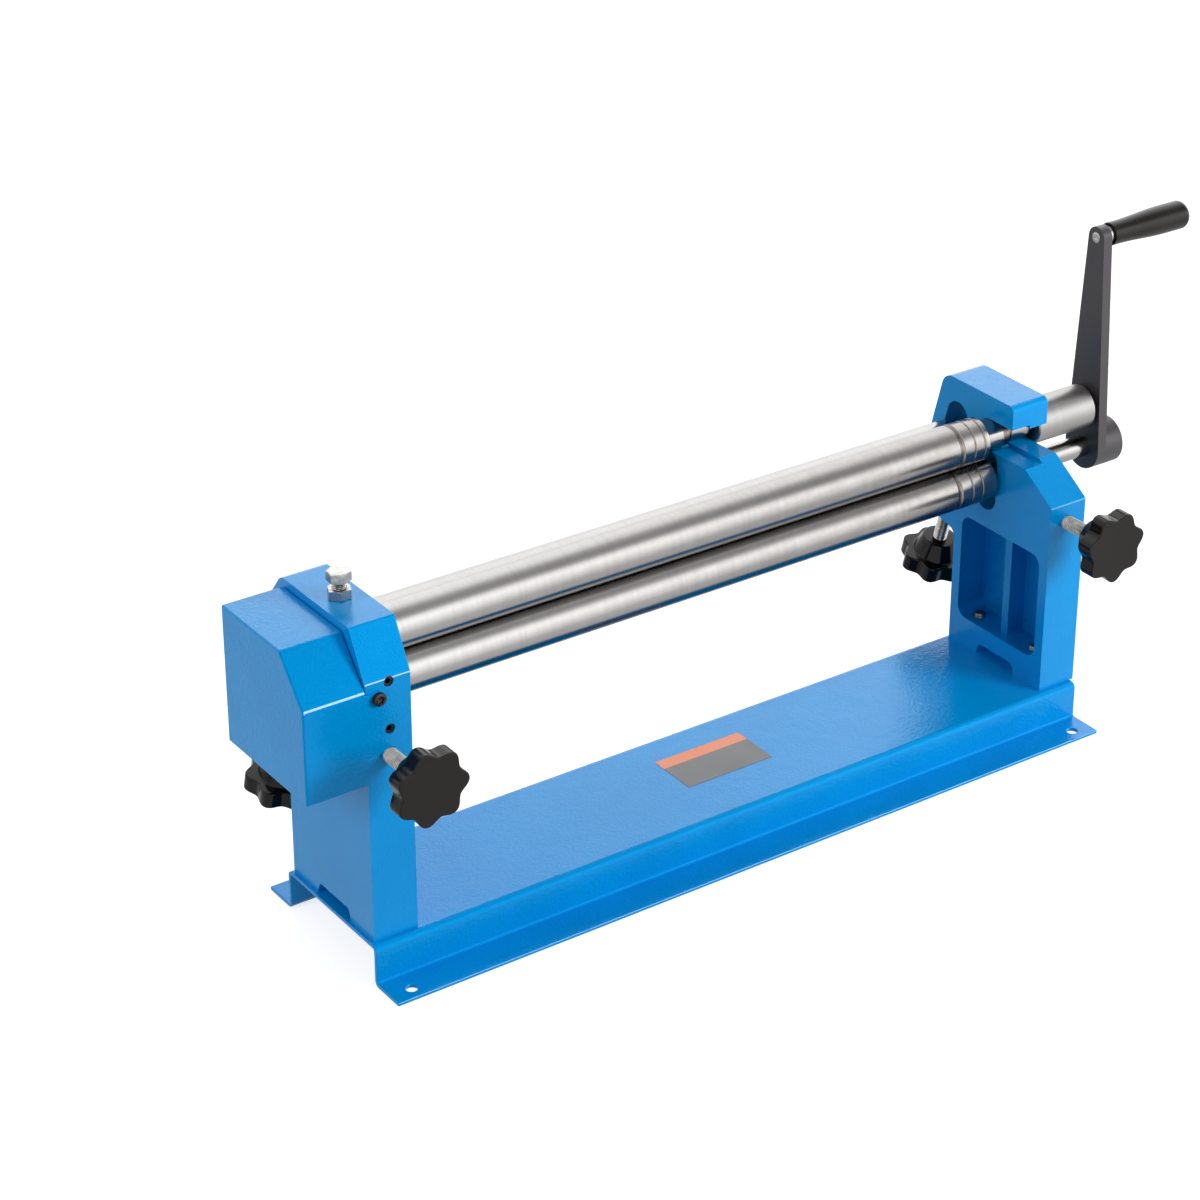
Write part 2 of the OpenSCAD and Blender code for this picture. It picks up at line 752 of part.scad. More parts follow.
// Gear with involute teeth, thinned so that the top roll can swing
function roll_off(r, base_r) = let (a = acos(base_r / r)) tan(a) * 180 / PI - a;
function flank(r, base_r, half_at_pitch) =
    half_at_pitch + roll_off(gear_pitch_r, base_r) - roll_off(max(r, base_r), base_r);
module gear_outline() {
    base_r = gear_pitch_r * cos(pressure_angle);
    tip_r = gear_pitch_r + gear_module;
    root_r = gear_pitch_r - tooth_root_share * gear_module;
    half = 90 / gear_teeth * (1 - tooth_loose_share);
    steps = 4;
    radii = concat([root_r], [for (i = [0:steps]) base_r + (tip_r - base_r) * i / steps]);
    polygon([for (k = [0:gear_teeth - 1]) each concat(
        [for (i = [0:steps + 1]) let (a = 360 * k / gear_teeth - flank(radii[i], base_r, half))
            radii[i] * [cos(a), sin(a)]],
        [for (i = [steps + 1:-1:0]) let (a = 360 * k / gear_teeth + flank(radii[i], base_r, half))
            radii[i] * [cos(a), sin(a)]]
    )]);
}
module gear(z) {
    color(steel) difference() {
        union() {
            plate(gear_mid - gear_w / 2, gear_mid + gear_w / 2)
                translate([roll_y, z]) rotate(90) gear_outline();
            bar(gear_mid, gear_hub_end, gear_hub_d, roll_y, z);
        }
        bar(gear_mid - gear_w, gear_hub_end + over, gear_bore_d + 2 * run_fit, roll_y, z);
        translate([gear_mid - gear_w, roll_y - key_w / 2 - run_fit, z])
            cube([gear_w + gear_hub_end - gear_mid + over, key_w + 2 * run_fit,
                  gear_bore_d / 2 - key_depth + key_w + run_fit]);
    }
}
module top_gear() { gear(top_z); }
module lower_gear() { gear(lower_z); }

// Rolls
module grooves(z) {
    for (i = [0:len(groove_share) - 1]) {
        w = i == 0 ? groove_w : groove_w * narrow_share;
        x = right_in - groove_from_side + groove_share[i] * groove_w;
        difference() {
            bar(x - w / 2, x + w / 2, roll_d + over, roll_y, z);
            bar(x - w, x + w, roll_d * (1 - groove_depth_share * w / groove_w), roll_y, z);
        }
    }
}
neck_groove_l = 5;
neck_relief_l = 3.5;
neck_relief_cut = 2;
neck_end_gap = 3;
journal_share = 0.127;
dark_share = 0.324;
module top_roll() {
    barrel_end = right_in - top_barrel_gap;
    journal_end = right_in + side_t * journal_share;
    dark_end = right_in + side_t * dark_share;
    dark_d = (jaw_journal_d + jaw_neck_d) / 2;
    relief_d = jaw_neck_d - neck_relief_cut;
    color(steel) difference() {
        union() {
            bar(seat_end, gear_hub_end, gear_bore_d, roll_y, top_z);
            bar(gear_hub_end, left_in + barrel_left_gap, left_journal_d, roll_y, top_z);
            bar(left_in + barrel_left_gap, barrel_end, roll_d, roll_y, top_z);
            bar(barrel_end, journal_end, jaw_journal_d, roll_y, top_z);
            bar(journal_end, dark_end, dark_d, roll_y, top_z);
            bar(dark_end, dark_end + neck_relief_l, relief_d, roll_y, top_z);
            bar(dark_end + neck_relief_l, right_out - neck_end_gap, jaw_neck_d, roll_y, top_z);
            bar(right_out - neck_groove_l, roll_end_start, relief_d, roll_y, top_z);
            bar(roll_end_start, roll_end_stop, roll_d, roll_y, top_z);
        }
        grooves(top_z);
        gear_seat_cuts(top_z);
    }
}
module lower_roll() {
    barrel_end = right_in - lower_barrel_gap;
    color(steel) difference() {
        union() {
            bar(seat_end, gear_hub_end, gear_bore_d, roll_y, lower_z);
            bar(gear_hub_end, left_in + barrel_left_gap, shaft_d, roll_y, lower_z);
            bar(left_in + barrel_left_gap, barrel_end, roll_d, roll_y, lower_z);
            bar(barrel_end, crank_x + boss_l - over, shaft_d, roll_y, lower_z);
        }
        grooves(lower_z);
        gear_seat_cuts(lower_z);
    }
}
module rear_roll() {
    color(steel) {
        bar(left_out + over, left_in + barrel_left_gap, shaft_d, rear_y, rear_z);
        bar(left_in + barrel_left_gap, right_in - lower_barrel_gap, roll_d, rear_y, rear_z);
        bar(right_in - lower_barrel_gap, right_out - over, shaft_d, rear_y, rear_z);
    }
}

// Crank: tapered arm between two round ends, with a boss on the far side
module arm_outline() {
    r0 = boss_d / 2;
    r1 = arm_end_d / 2;
    lean = asin((r0 - r1) / crank_throw);
    circle(r0);
    translate([0, crank_throw]) circle(r1);
    polygon([
        r0 * [cos(lean), sin(lean)], [0, crank_throw] + r1 * [cos(lean), sin(lean)],
        [0, crank_throw] + r1 * [-cos(lean), sin(lean)], r0 * [-cos(lean), sin(lean)],
    ]);
}
module crank_arm() {
    boss_mid = crank_x + (arm_t + boss_l) / 2;
    color(iron) difference() {
        union() {
            plate(crank_x, crank_x + arm_t) translate([roll_y, lower_z]) arm_outline();
            bar(crank_x, crank_x + boss_l, boss_d, roll_y, lower_z);
        }
        bar(crank_x - over, crank_x + boss_l + over, shaft_d + 2 * run_fit, roll_y, lower_z);
        bar(crank_x - over, crank_x + arm_t + over, pin_rivet_d + 2 * run_fit, roll_y, grip_z);
        translate([boss_mid, roll_y, lower_z - boss_d])
            cylinder(d = set_d + 2 * thread_fit, h = boss_d);
    }
}
crank_set_sunk = 1;
module crank_set_screw() {
    boss_mid = crank_x + (arm_t + boss_l) / 2;
    sunk = crank_set_sunk;
    color(iron) translate([boss_mid, roll_y, lower_z - boss_d / 2 + sunk])
        set_screw(set_d, boss_d / 2 - sunk - shaft_d / 2 - face_gap);
}
module grip_pin() {
    collar = crank_x + arm_t;
    grip_start = collar + pin_collar_l + face_gap;
    color(zinc) {
        bar(crank_x - pin_rivet_out, collar + over, pin_rivet_d, roll_y, grip_z);
        bar(collar, collar + pin_collar_l, pin_collar_d, roll_y, grip_z);
        bar(collar + over, grip_start + grip_l - grip_wall - face_gap, pin_d, roll_y, grip_z);
    }
}
grip_full_share = 0.72;
grip_lead_share = 0.12;
module hand_grip() {
    start = crank_x + arm_t + pin_collar_l + face_gap;
    end_r = grip_d / 4;
    full_at = grip_l * grip_full_share;
    lead = grip_lead_share;
    color(black) difference() {
        translate([start, roll_y, grip_z]) rotate([0, 90, 0]) rotate_extrude() polygon(concat(
            [[0, 0], [grip_neck_d / 2, 0]],
            [for (i = [0:corner_steps * 2]) let (t = i / corner_steps / 2)
                [grip_neck_d / 2 + (grip_d - grip_neck_d) / 4 * (1 - cos(180 * t)),
                 full_at * (lead + (1 - lead) * t)]],
            [for (i = [0:corner_steps]) let (a = 90 * i / corner_steps)
                [grip_d / 2 - end_r + end_r * cos(a), grip_l - end_r + end_r * sin(a)]],
            [[0, grip_l]]
        ));
        bar(start - over, start + grip_l - grip_wall, pin_d + 2 * thread_fit, roll_y, grip_z);
    }
}

// Adjusting screws
module front_screw(x) {
    cone_at = side_front + roll_y - front_slot_r + cone_start;
    start = -front_knob_gap - knob_grip_l;
    color(zinc) front_line(x) {
        translate([0, 0, start]) cylinder(d = screw_d, h = cone_at - start);
        translate([0, 0, cone_at]) cylinder(r1 = screw_d / 2, r2 = cone_tip_r, h = cone_l);
    }
}
module rear_screw(x) {
    start = -wing_drop - rear_knob_gap - knob_grip_l;
    color(zinc) rear_line(x)
        translate([0, 0, start]) cylinder(d = screw_d, h = -rear_block_foot - start);
}
module front_left_screw() { front_screw(left_mid); }
module front_right_screw() { front_screw(right_mid); }
module rear_left_screw() { rear_screw(left_mid); }
module rear_right_screw() { rear_screw(right_mid); }

// Knob: wavy rim, flat outer face at z = 0, tapered hub towards the housing
module knob(turned) {
    rim = knob_d / 2 - knob_wave;
    color(black) difference() {
        union() {
            rotate([0, 0, turned]) linear_extrude(knob_t)
                polygon([for (i = [0:knob_points - 1])
                    let (a = 360 * i / knob_points)
                    (rim + knob_wave * cos(knob_lobes * a)) * [cos(a), sin(a)]]);
            translate([0, 0, knob_t]) cylinder(d1 = hub_root_d, d2 = hub_d, h = knob_hub_l);
        }
        translate([0, 0, knob_t + knob_hub_l - knob_grip_l - face_gap])
            cylinder(d = screw_d + 2 * run_fit, h = knob_grip_l + face_gap + over);
    }
}
module front_knob(x, turned) {
    front_line(x) translate([0, 0, -front_knob_face]) knob(turned);
}
module rear_knob(x, turned) {
    rear_line(x) translate([0, 0, -wing_drop - rear_knob_face]) knob(turned);
}
module front_left_knob() { front_knob(left_mid, front_left_turn); }
module front_right_knob() { front_knob(right_mid, front_right_turn); }
module rear_left_knob() { rear_knob(left_mid, rear_left_turn); }
module rear_right_knob() { rear_knob(right_mid, rear_right_turn); }

base_channel();
left_housing();
right_housing();
housing_bolts();
housing_washers();
gear_cover();
cover_screw();
clamp_bolt();
clamp_jam_nut();
block_set_screws();
top_left_block();
lower_left_block();
lower_right_block();
rear_left_block();
rear_right_block();
top_roll();
top_gear();
top_gear_key();
top_gear_ring();
lower_roll();
lower_gear();
lower_gear_key();
lower_gear_ring();
crank_arm();
crank_set_screw();
grip_pin();
hand_grip();
rear_roll();
front_left_screw();
front_right_screw();
rear_left_screw();
rear_right_screw();
front_left_knob();
front_right_knob();
rear_left_knob();
rear_right_knob();
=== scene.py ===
"""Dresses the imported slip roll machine: finished pieces, finishes, lamps, floor and camera.

Lengths are in millimetres until a mesh is made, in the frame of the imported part: the origin is
the middle of the base on the bench, +X runs along the rolls to the crank and +Y to the rear.
"""

import json
import logging
import math
from abc import ABC, abstractmethod
from collections.abc import Callable, Iterable, Mapping, Sequence
from dataclasses import dataclass, field
from enum import Enum
from typing import Any

import bmesh
import bpy
from mathutils import Matrix, Vector

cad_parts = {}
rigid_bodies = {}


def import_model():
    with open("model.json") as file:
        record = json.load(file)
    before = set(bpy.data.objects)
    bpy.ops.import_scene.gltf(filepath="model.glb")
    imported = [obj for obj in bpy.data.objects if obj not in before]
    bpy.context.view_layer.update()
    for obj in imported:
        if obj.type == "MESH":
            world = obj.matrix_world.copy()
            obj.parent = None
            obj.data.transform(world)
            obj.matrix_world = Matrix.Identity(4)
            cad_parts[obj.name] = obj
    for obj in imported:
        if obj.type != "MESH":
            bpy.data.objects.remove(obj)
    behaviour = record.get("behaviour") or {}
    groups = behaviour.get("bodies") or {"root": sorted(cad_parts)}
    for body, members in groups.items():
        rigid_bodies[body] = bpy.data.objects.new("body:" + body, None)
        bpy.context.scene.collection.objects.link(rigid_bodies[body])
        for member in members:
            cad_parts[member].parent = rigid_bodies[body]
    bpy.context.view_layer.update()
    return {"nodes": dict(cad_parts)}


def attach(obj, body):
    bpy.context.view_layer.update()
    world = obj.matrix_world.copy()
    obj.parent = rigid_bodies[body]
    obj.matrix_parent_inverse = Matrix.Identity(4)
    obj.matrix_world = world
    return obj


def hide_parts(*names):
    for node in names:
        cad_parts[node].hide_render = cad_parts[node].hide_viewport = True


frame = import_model()

LOG = logging.getLogger("slip_roll")
MM = 0.001
# Face or point attribute: share of painted shade, a dark colour put where hollows, grooves and thread roots
# lie in shade.
PAINTED_SHADE = "film"
# Face attribute: share of a painted highlight, a pale colour on rounded edges that face the key lamp; these
# faces also carry a clear coat.
PAINTED_HIGHLIGHT = "bend"
SATIN = "satin"

Piece = bpy.types.Object
Triple = tuple[float, float, float]
Colour = Triple
Point = tuple[float, float]
Span = tuple[float, float]

WHITE: Colour = (1.0, 1.0, 1.0)
MERGE = 0.00001
SEAM = 0.000001
FLAT_ANGLE = 0.6
SCREW_EDGE = 28.0
CHAMFER_ANGLE = 30.0
SOFT = (0.3, 0.7)
CLEAR = (0.35, 0.65)
# Which way a rounded edge must face to get the painted highlight.
KEY_SIDE = 0.2
KEY_TILT = (0.12, 0.5)


# Node trees

def operator(operation: str, reflected: bool = False) -> Callable[["Wire", Any], "Wire"]:
    """A Wire method that adds a Math node.

    Args:
        operation: The node's operation.
        reflected: True where the other value comes first.

    Returns:
        The method.
    """

    def method(self: "Wire", other: Any) -> "Wire":
        """The operation on this wire and another value."""
        return self.graph.math(operation, *((other, self) if reflected else (self, other)))

    return method


class Wire:
    """One output socket, with operators that add Math nodes.

    Args:
        graph: The graph that the socket belongs to.
        socket: The output socket.
    """

    def __init__(self, graph: "Graph", socket: bpy.types.NodeSocket) -> None:
        """Keeps the graph and the socket."""
        self.graph = graph
        self.socket = socket

    __add__, __radd__ = operator("ADD"), operator("ADD", True)
    __sub__, __rsub__ = operator("SUBTRACT"), operator("SUBTRACT", True)
    __mul__, __rmul__ = operator("MULTIPLY"), operator("MULTIPLY", True)
    __truediv__, __rtruediv__ = operator("DIVIDE"), operator("DIVIDE", True)

    def other(self, output: int | str) -> "Wire":
        """Another output of the same node."""
        return Wire(self.graph, self.socket.node.outputs[output])

    def math(self, operation: str, *values: Any) -> "Wire":
        """A Math node that starts from this value."""
        return self.graph.math(operation, self, *values)


class Graph:
    """A node tree that is built with one method for any node.

    Args:
        tree: The shader or geometry tree to fill.
    """

    def __init__(self, tree: bpy.types.NodeTree) -> None:
        """Keeps the tree."""
        self.tree = tree

    @classmethod
    def of(cls, owner: bpy.types.Material | bpy.types.World) -> "Graph":
        """The node tree of a material or world, emptied.

        Args:
            owner: The material or world.

        Returns:
            The graph.
        """
        owner.use_nodes = True
        owner.node_tree.nodes.clear()
        return cls(owner.node_tree)

    def node(
        self,
        kind: str,
        settings: Mapping[str, Any] | None = None,
        inputs: Mapping[int | str, Any] | None = None,
        output: int | str = 0,
    ) -> Wire:
        """Adds a node.

        Args:
            kind: The node's type.
            settings: Its own settings, set first; "stops" holds a ramp's (place, colour) pairs.
            inputs: Values or wires by socket name or number.
            output: The output that is handed back.

        Returns:
            The wire of that output.
        """
        made = self.tree.nodes.new(kind)
        for name, value in (settings or {}).items():
            if name == "stops":
                self._set_stops(made.color_ramp, value)
            else:
                setattr(made, name, value)
        for key, value in (inputs or {}).items():
            if isinstance(value, Wire):
                self.tree.links.new(value.socket, made.inputs[key])
            elif value is not None:
                made.inputs[key].default_value = value
        return Wire(self, made.outputs[output]) if made.outputs else Wire(self, None)

    @staticmethod
    def _set_stops(ramp: bpy.types.ColorRamp, stops: Sequence[tuple[float, Colour]]) -> None:
        """Puts (place, colour) stops on a ramp.

        Args:
            ramp: The ramp.
            stops: Its stops in order.
        """
        while len(ramp.elements) > 1:
            ramp.elements.remove(ramp.elements[-1])
        for i, (place, colour) in enumerate(stops):
            stop = ramp.elements[0] if i == 0 else ramp.elements.new(place)
            stop.position = place
            stop.color = (*colour, 1.0)

    def math(self, operation: str, *values: Any) -> Wire:
        """A Math node on values or wires."""
        return self.node("ShaderNodeMath", {"operation": operation}, dict(enumerate(values)))

    def mix(self, share: Any, first: Any, second: Any) -> Wire:
        """A mix of two colours.

        Args:
            share: Share of the second.
            first: A colour or wire.
            second: A colour or wire.

        Returns:
            The mixed colour.
        """
        ends = [v if isinstance(v, Wire) else (*v, 1.0) for v in (first, second)]
        return self.node(
            "ShaderNodeMix", {"data_type": "RGBA"}, {0: share, 6: ends[0], 7: ends[1]}, output=2
        )

    def span(self, value: Any, low: float, high: float, to_low: float = 0.0, to_high: float = 1.0) -> Wire:
        """A value mapped from one span onto another, and held inside it.

        Args:
            value: A number or wire.
            low: Start of its span.
            high: End of its span.
            to_low: What the start becomes.
            to_high: What the end becomes.

        Returns:
            The mapped value.
        """
        return self.node("ShaderNodeMapRange", {"clamp": True}, {
            "Value": value, "From Min": low, "From Max": high, "To Min": to_low, "To Max": to_high,
        })

    def noise(self, place: Wire, scale: float, detail: float = 2.0, rough: float = 0.5) -> Wire:
        """A noise value between 0 and 1."""
        return self.node("ShaderNodeTexNoise", None, {
            "Vector": place, "Scale": scale, "Detail": detail, "Roughness": rough,
        })

    def stretched(self, place: Wire, scale: Triple) -> Wire:
        """Coordinates scaled by axis."""
        return self.node("ShaderNodeMapping", None, {"Vector": place, "Scale": scale})

    def mark(self, name: str) -> Wire:
        """A share that the mesh carries as an attribute."""
        return self.node("ShaderNodeAttribute", {"attribute_name": name}, output="Fac")

    def bump(self, height: Wire, distance: float, under: Wire | None = None) -> Wire:
        """A bump normal from a height, laid over another normal where one is given."""
        return self.node("ShaderNodeBump", None, {"Height": height, "Distance": distance, "Normal": under})


# Finishes

class Slot(Enum):
    """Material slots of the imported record."""

    PAINT = "blue_paint"
    ROLLS = "ground_steel"
    GEARS = "gear_steel"
    ZINC = "zinc"
    BLACK = "black_steel"
    BRONZE = "bearing_bronze"
    CRANK = "crank_iron"
    PLASTIC = "black_plastic"


@dataclass(frozen=True)
class Finish(ABC):
    """A finish that makes one material.

    Args:
        name: The material's name.
        slot: The record's slot that it stands for; not used.
    """

    name: str
    slot: Slot | None

    @abstractmethod
    def inputs(self, graph: Graph, place: Wire) -> dict[str, Any]:
        """The inputs of the Principled shader.

        Args:
            graph: The material's graph.
            place: Object coordinates.

        Returns:
            Values or wires by socket name.
        """

    def material(self) -> bpy.types.Material:
        """The material, made once and found again by its name.

        Returns:
            The material.
        """
        found = bpy.data.materials.get(self.name)
        if found:
            return found
        made = bpy.data.materials.new(self.name)
        graph = Graph.of(made)
        place = graph.node("ShaderNodeTexCoord", output="Object")
        shader = graph.node("ShaderNodeBsdfPrincipled", None, self.inputs(graph, place))
        graph.node("ShaderNodeOutputMaterial", None, {"Surface": shader})
        return made


@dataclass(frozen=True)
class Paint(Finish):
    """Baked powder paint with a fine orange peel, glossy and wavy."""

    colour: Colour = (0.0, 0.29, 0.70)
    deep: Colour = (0.0, 0.265, 0.66)
    # Painted shade: the near-black colour put on faces that lie in shade in the housings' hollows.
    painted_dark: Colour = (0.006, 0.005, 0.005)
    # Painted highlight: the pale colour put on rounded folds that face the key lamp.
    painted_glint: Colour = (0.45, 0.72, 0.95)
    drift_scale: float = 14.0
    haze_scale: float = 45.0
    peel_scale: float = 420.0
    peel_height: float = 0.0003
    wave_scale: float = 60.0
    wave_height: float = 0.0002
    roughness: float = 0.15
    painted_dark_roughness: float = 0.6
    coat_roughness: float = 0.06
    index: float = 1.55
    tint: Colour = (0.0, 0.4, 1.0)
    rough_span: Span = (0.8, 1.25)

    def inputs(self, graph: Graph, place: Wire) -> dict[str, Any]:
        """Blue with slow drifts, painted shade in the hollows, a painted highlight with a clear coat on
        folds that face the key, and peel over waves.

        Args:
            graph: The material's graph.
            place: Object coordinates.

        Returns:
            Values or wires by socket name.
        """
        # The marks of painted shade and of the painted highlight.
        film, bend = graph.mark(PAINTED_SHADE), graph.mark(PAINTED_HIGHLIGHT)
        drift = graph.noise(place, self.drift_scale, 3.0)
        haze = graph.noise(place, self.haze_scale, 3.0)
        peel = graph.noise(place, self.peel_scale, 2.0, 0.55)
        waves = graph.bump(graph.noise(place, self.wave_scale, 1.0), self.wave_height)
        tone = graph.mix(graph.span(drift, *CLEAR), self.deep, self.colour)
        rough = graph.span(haze, *SOFT, *self.rough_span)
        return {
            # Painted highlight on marked folds, then painted shade over marked hollows.
            "Base Color": graph.mix(film, graph.mix(bend, tone, self.painted_glint), self.painted_dark),
            "Metallic": film,
            "Roughness": rough * self.roughness + film * self.painted_dark_roughness,
            "Coat Weight": bend,
            "Coat Roughness": self.coat_roughness,
            "IOR": self.index,
            "Specular Tint": (*self.tint, 1.0),
            "Normal": graph.bump(peel, self.peel_height, waves),
        }


@dataclass(frozen=True)
class Turned(Finish):
    """Ground and turned steel: thin rings across the axis, and brown painted shade in the grooves and on the
    journals in the housing's jaw.
    """

    colour: Colour = (0.275, 0.27, 0.265)
    # Brown colour of the painted shade.
    film: Colour = (0.075, 0.055, 0.04)
    band_share: float = 0.93
    roughness: float = 0.17
    shaded_roughness: float = 0.25
    satin_roughness: float = 0.22
    ring_scale: Triple = (2600.0, 6.0, 6.0)
    ring_height: float = 0.000008
    band_scale: Triple = (240.0, 3.0, 3.0)
    patch_scale: Triple = (60.0, 140.0, 140.0)
    patch_from: Span = (0.3, 0.6)
    patch_to: Span = (0.55, 1.0)
    rough_span: Span = (0.85, 1.2)

    def inputs(self, graph: Graph, place: Wire) -> dict[str, Any]:
        """Steel with rings, and patchy brown painted shade where the mesh marks it.

        Args:
            graph: The material's graph.
            place: Object coordinates.

        Returns:
            Values or wires by socket name.
        """
        rings = graph.noise(graph.stretched(place, self.ring_scale), 1.0, 3.0, 0.6)
        bands = graph.noise(graph.stretched(place, self.band_scale), 1.0, 2.0)
        shade_patches = graph.noise(graph.stretched(place, self.patch_scale), 1.0, 4.0, 0.6)
        # Painted shade, made patchy by noise.
        painted_dark = (graph.mark(PAINTED_SHADE) * graph.span(shade_patches, *self.patch_from, *self.patch_to)).math("MINIMUM", 1.0)
        dull = tuple(c * self.band_share for c in self.colour)
        tone = graph.mix(graph.span(bands, *SOFT), dull, self.colour)
        rough = graph.span(rings, *SOFT, *self.rough_span) * self.roughness
        return {
            "Base Color": graph.mix(painted_dark, tone, self.film),
            "Metallic": 1.0,
            "Roughness": rough + painted_dark * self.shaded_roughness + graph.mark(SATIN) * self.satin_roughness,
            "Normal": graph.bump(rings, self.ring_height),
        }


@dataclass(frozen=True)
class Plated(Finish):
    """Plain metal with a mottled plating or machining haze."""

    colour: Colour = (0.42, 0.42, 0.405)
    shade: Colour = (0.29, 0.29, 0.275)
    roughness: float = 0.3
    metallic: float = 1.0
    mottle: float = 260.0
    height: float = 0.00002
    root_share: float = 0.16
    rough_span: Span = (1.2, 0.8)

    def inputs(self, graph: Graph, place: Wire) -> dict[str, Any]:
        """Metal with cloudy tone and roughness, and painted shade in a thread's roots.

        Args:
            graph: The material's graph.
            place: Object coordinates.

        Returns:
            Values or wires by socket name.
        """
        cloud = graph.noise(place, self.mottle, 3.0, 0.6)
        tone = graph.mix(graph.span(cloud, *CLEAR), self.shade, self.colour)
        # Painted shade for thread roots: a much darker copy of the second tone.
        root = tuple(c * self.root_share for c in self.shade)
        return {
            "Base Color": graph.mix(graph.mark(PAINTED_SHADE), tone, root),
            "Metallic": self.metallic,
            "Roughness": graph.span(cloud, *SOFT, *self.rough_span) * self.roughness,
            "Normal": graph.bump(cloud, self.height),
        }


@dataclass(frozen=True)
class Moulded(Finish):
    """Moulded plastic or satin enamel in a dark tone."""

    colour: Colour = (0.012, 0.0105, 0.0095)
    shade: Colour = (0.009, 0.008, 0.0075)
    roughness: float = 0.2
    grain: float = 900.0
    height: float = 0.00002
    index: float = 1.5
    sheen_scale: float = 30.0
    rough_span: Span = (0.8, 1.25)

    def inputs(self, graph: Graph, place: Wire) -> dict[str, Any]:
        """Dark tone with a fine grain and drifting gloss.

        Args:
            graph: The material's graph.
            place: Object coordinates.

        Returns:
            Values or wires by socket name.
        """
        grain = graph.noise(place, self.grain, 2.0, 0.5)
        drift = graph.noise(place, self.sheen_scale, 3.0, 0.6)
        return {
            "Base Color": graph.mix(graph.span(drift, *SOFT), self.shade, self.colour),
            "Roughness": graph.span(drift, *SOFT, *self.rough_span) * self.roughness,
            "IOR": self.index,
            "Normal": graph.bump(grain, self.height),
        }


BLUE = Paint("blue_powder_paint", Slot.PAINT)
CAST_BLUE = Paint("blue_paint_on_castings", Slot.PAINT, peel_scale=600.0, peel_height=0.0002)
ROLL_STEEL = Turned("ground_roll_steel", Slot.ROLLS)
GEAR_STEEL = Plated("oiled_gear_steel", Slot.GEARS, (0.26, 0.25, 0.23), (0.18, 0.17, 0.15), 0.32)
ZINC = Plated("bright_zinc", Slot.ZINC)
DULL_ZINC = Plated("dull_zinc", Slot.ZINC, (0.20, 0.20, 0.19), (0.13, 0.13, 0.12), 0.4)
BLACK_STEEL = Plated(
    "blackened_steel", Slot.BLACK, (0.035, 0.033, 0.032), (0.02, 0.018, 0.017), 0.3, metallic=0.7
)
BRONZE = Plated("bearing_bronze_cast", Slot.BRONZE, (0.30, 0.20, 0.09), (0.22, 0.14, 0.06), 0.36)
CRANK_IRON = Moulded(
    "crank_satin_black", Slot.CRANK, (0.028, 0.0245, 0.028), (0.024, 0.021, 0.024), 0.42,
    grain=520.0, height=0.00005,
)
PLASTIC = Moulded(
    "knob_plastic", Slot.PLASTIC, (0.0065, 0.0045, 0.0035), (0.0045, 0.0035, 0.003), 0.12,
    grain=700.0, height=0.00001, index=1.26,
)
GRIP_PLASTIC = Moulded(
    "grip_plastic", Slot.PLASTIC, (0.010, 0.008, 0.007), (0.007, 0.006, 0.005), 0.16,
    grain=700.0, height=0.00001, index=1.27,
)
PLATE_GREY = Moulded("plate_dark_foil", None, (0.075, 0.078, 0.085), (0.068, 0.070, 0.078), 0.35)
PLATE_BAND = Moulded("plate_orange_foil", None, (0.82, 0.22, 0.075), (0.78, 0.20, 0.068), 0.35)


# Meshes

@dataclass(frozen=True)
class Ring:
    """One ring of a turned shape.

    Args:
        height: Place along the axis.
        radius: Radius, or half the width across flats of a hexagon.
        flats: True where the ring is a hexagon.
        chamfer: Radius past which a hexagon's face falls away, or 0.
        film: Share of brown painted shade on the ring.
        satin: Share of a coarse turned finish on it.
    """

    height: float
    radius: float
    flats: bool = False
    chamfer: float = 0.0
    film: float = 0.0
    satin: float = 0.0

    def reach(self, angle: float) -> float:
        """Distance of the ring from its axis at an angle.

        Args:
            angle: The angle in radians.

        Returns:
            The distance.
        """
        if not self.flats:
            return self.radius
        sixth = math.pi / 3
        return self.radius / math.cos(angle % sixth - sixth / 2)

    def level(self, angle: float, sign: float) -> float:
        """Place along the axis at an angle, with the chamfer taken off.

        Args:
            angle: The angle in radians.
            sign: 1 at the shape's far end, -1 at its near end.

        Returns:
            The place.
        """
        if not self.chamfer:
            return self.height
        drop = max(0.0, self.reach(angle) - self.chamfer) * math.tan(math.radians(CHAMFER_ANGLE))
        return self.height - sign * drop


def profile(height: float, radius: float, offsets: Sequence[Point]) -> list[Ring]:
    """Rings set off from one point of a section.

    Args:
        height: The point's place along the axis.
        radius: Its radius.
        offsets: The rings' distances from it, as (height, radius).

    Returns:
        The rings in order.
    """
    return [Ring(height + up, radius + out) for up, out in offsets]


def link(name: str, data: bpy.types.ID) -> Piece:
    """A new object of a mesh, lamp or camera, in the scene.

    Args:
        name: Name of the object.
        data: Its mesh, lamp or camera.

    Returns:
        The object.
    """
    made = bpy.data.objects.new(name, data)
    bpy.context.scene.collection.objects.link(made)
    return made


def from_bmesh(name: str, shape: bmesh.types.BMesh, outward: bool = True) -> Piece:
    """An object from a bmesh.

    Args:
        name: Name of the object.
        shape: The bmesh, which is freed.
        outward: True where its faces are turned outward first.

    Returns:
        The object.
    """
    if outward:
        bmesh.ops.recalc_face_normals(shape, faces=shape.faces)
    mesh = bpy.data.meshes.new(name)
    shape.to_mesh(mesh)
    shape.free()
    return link(name, mesh)


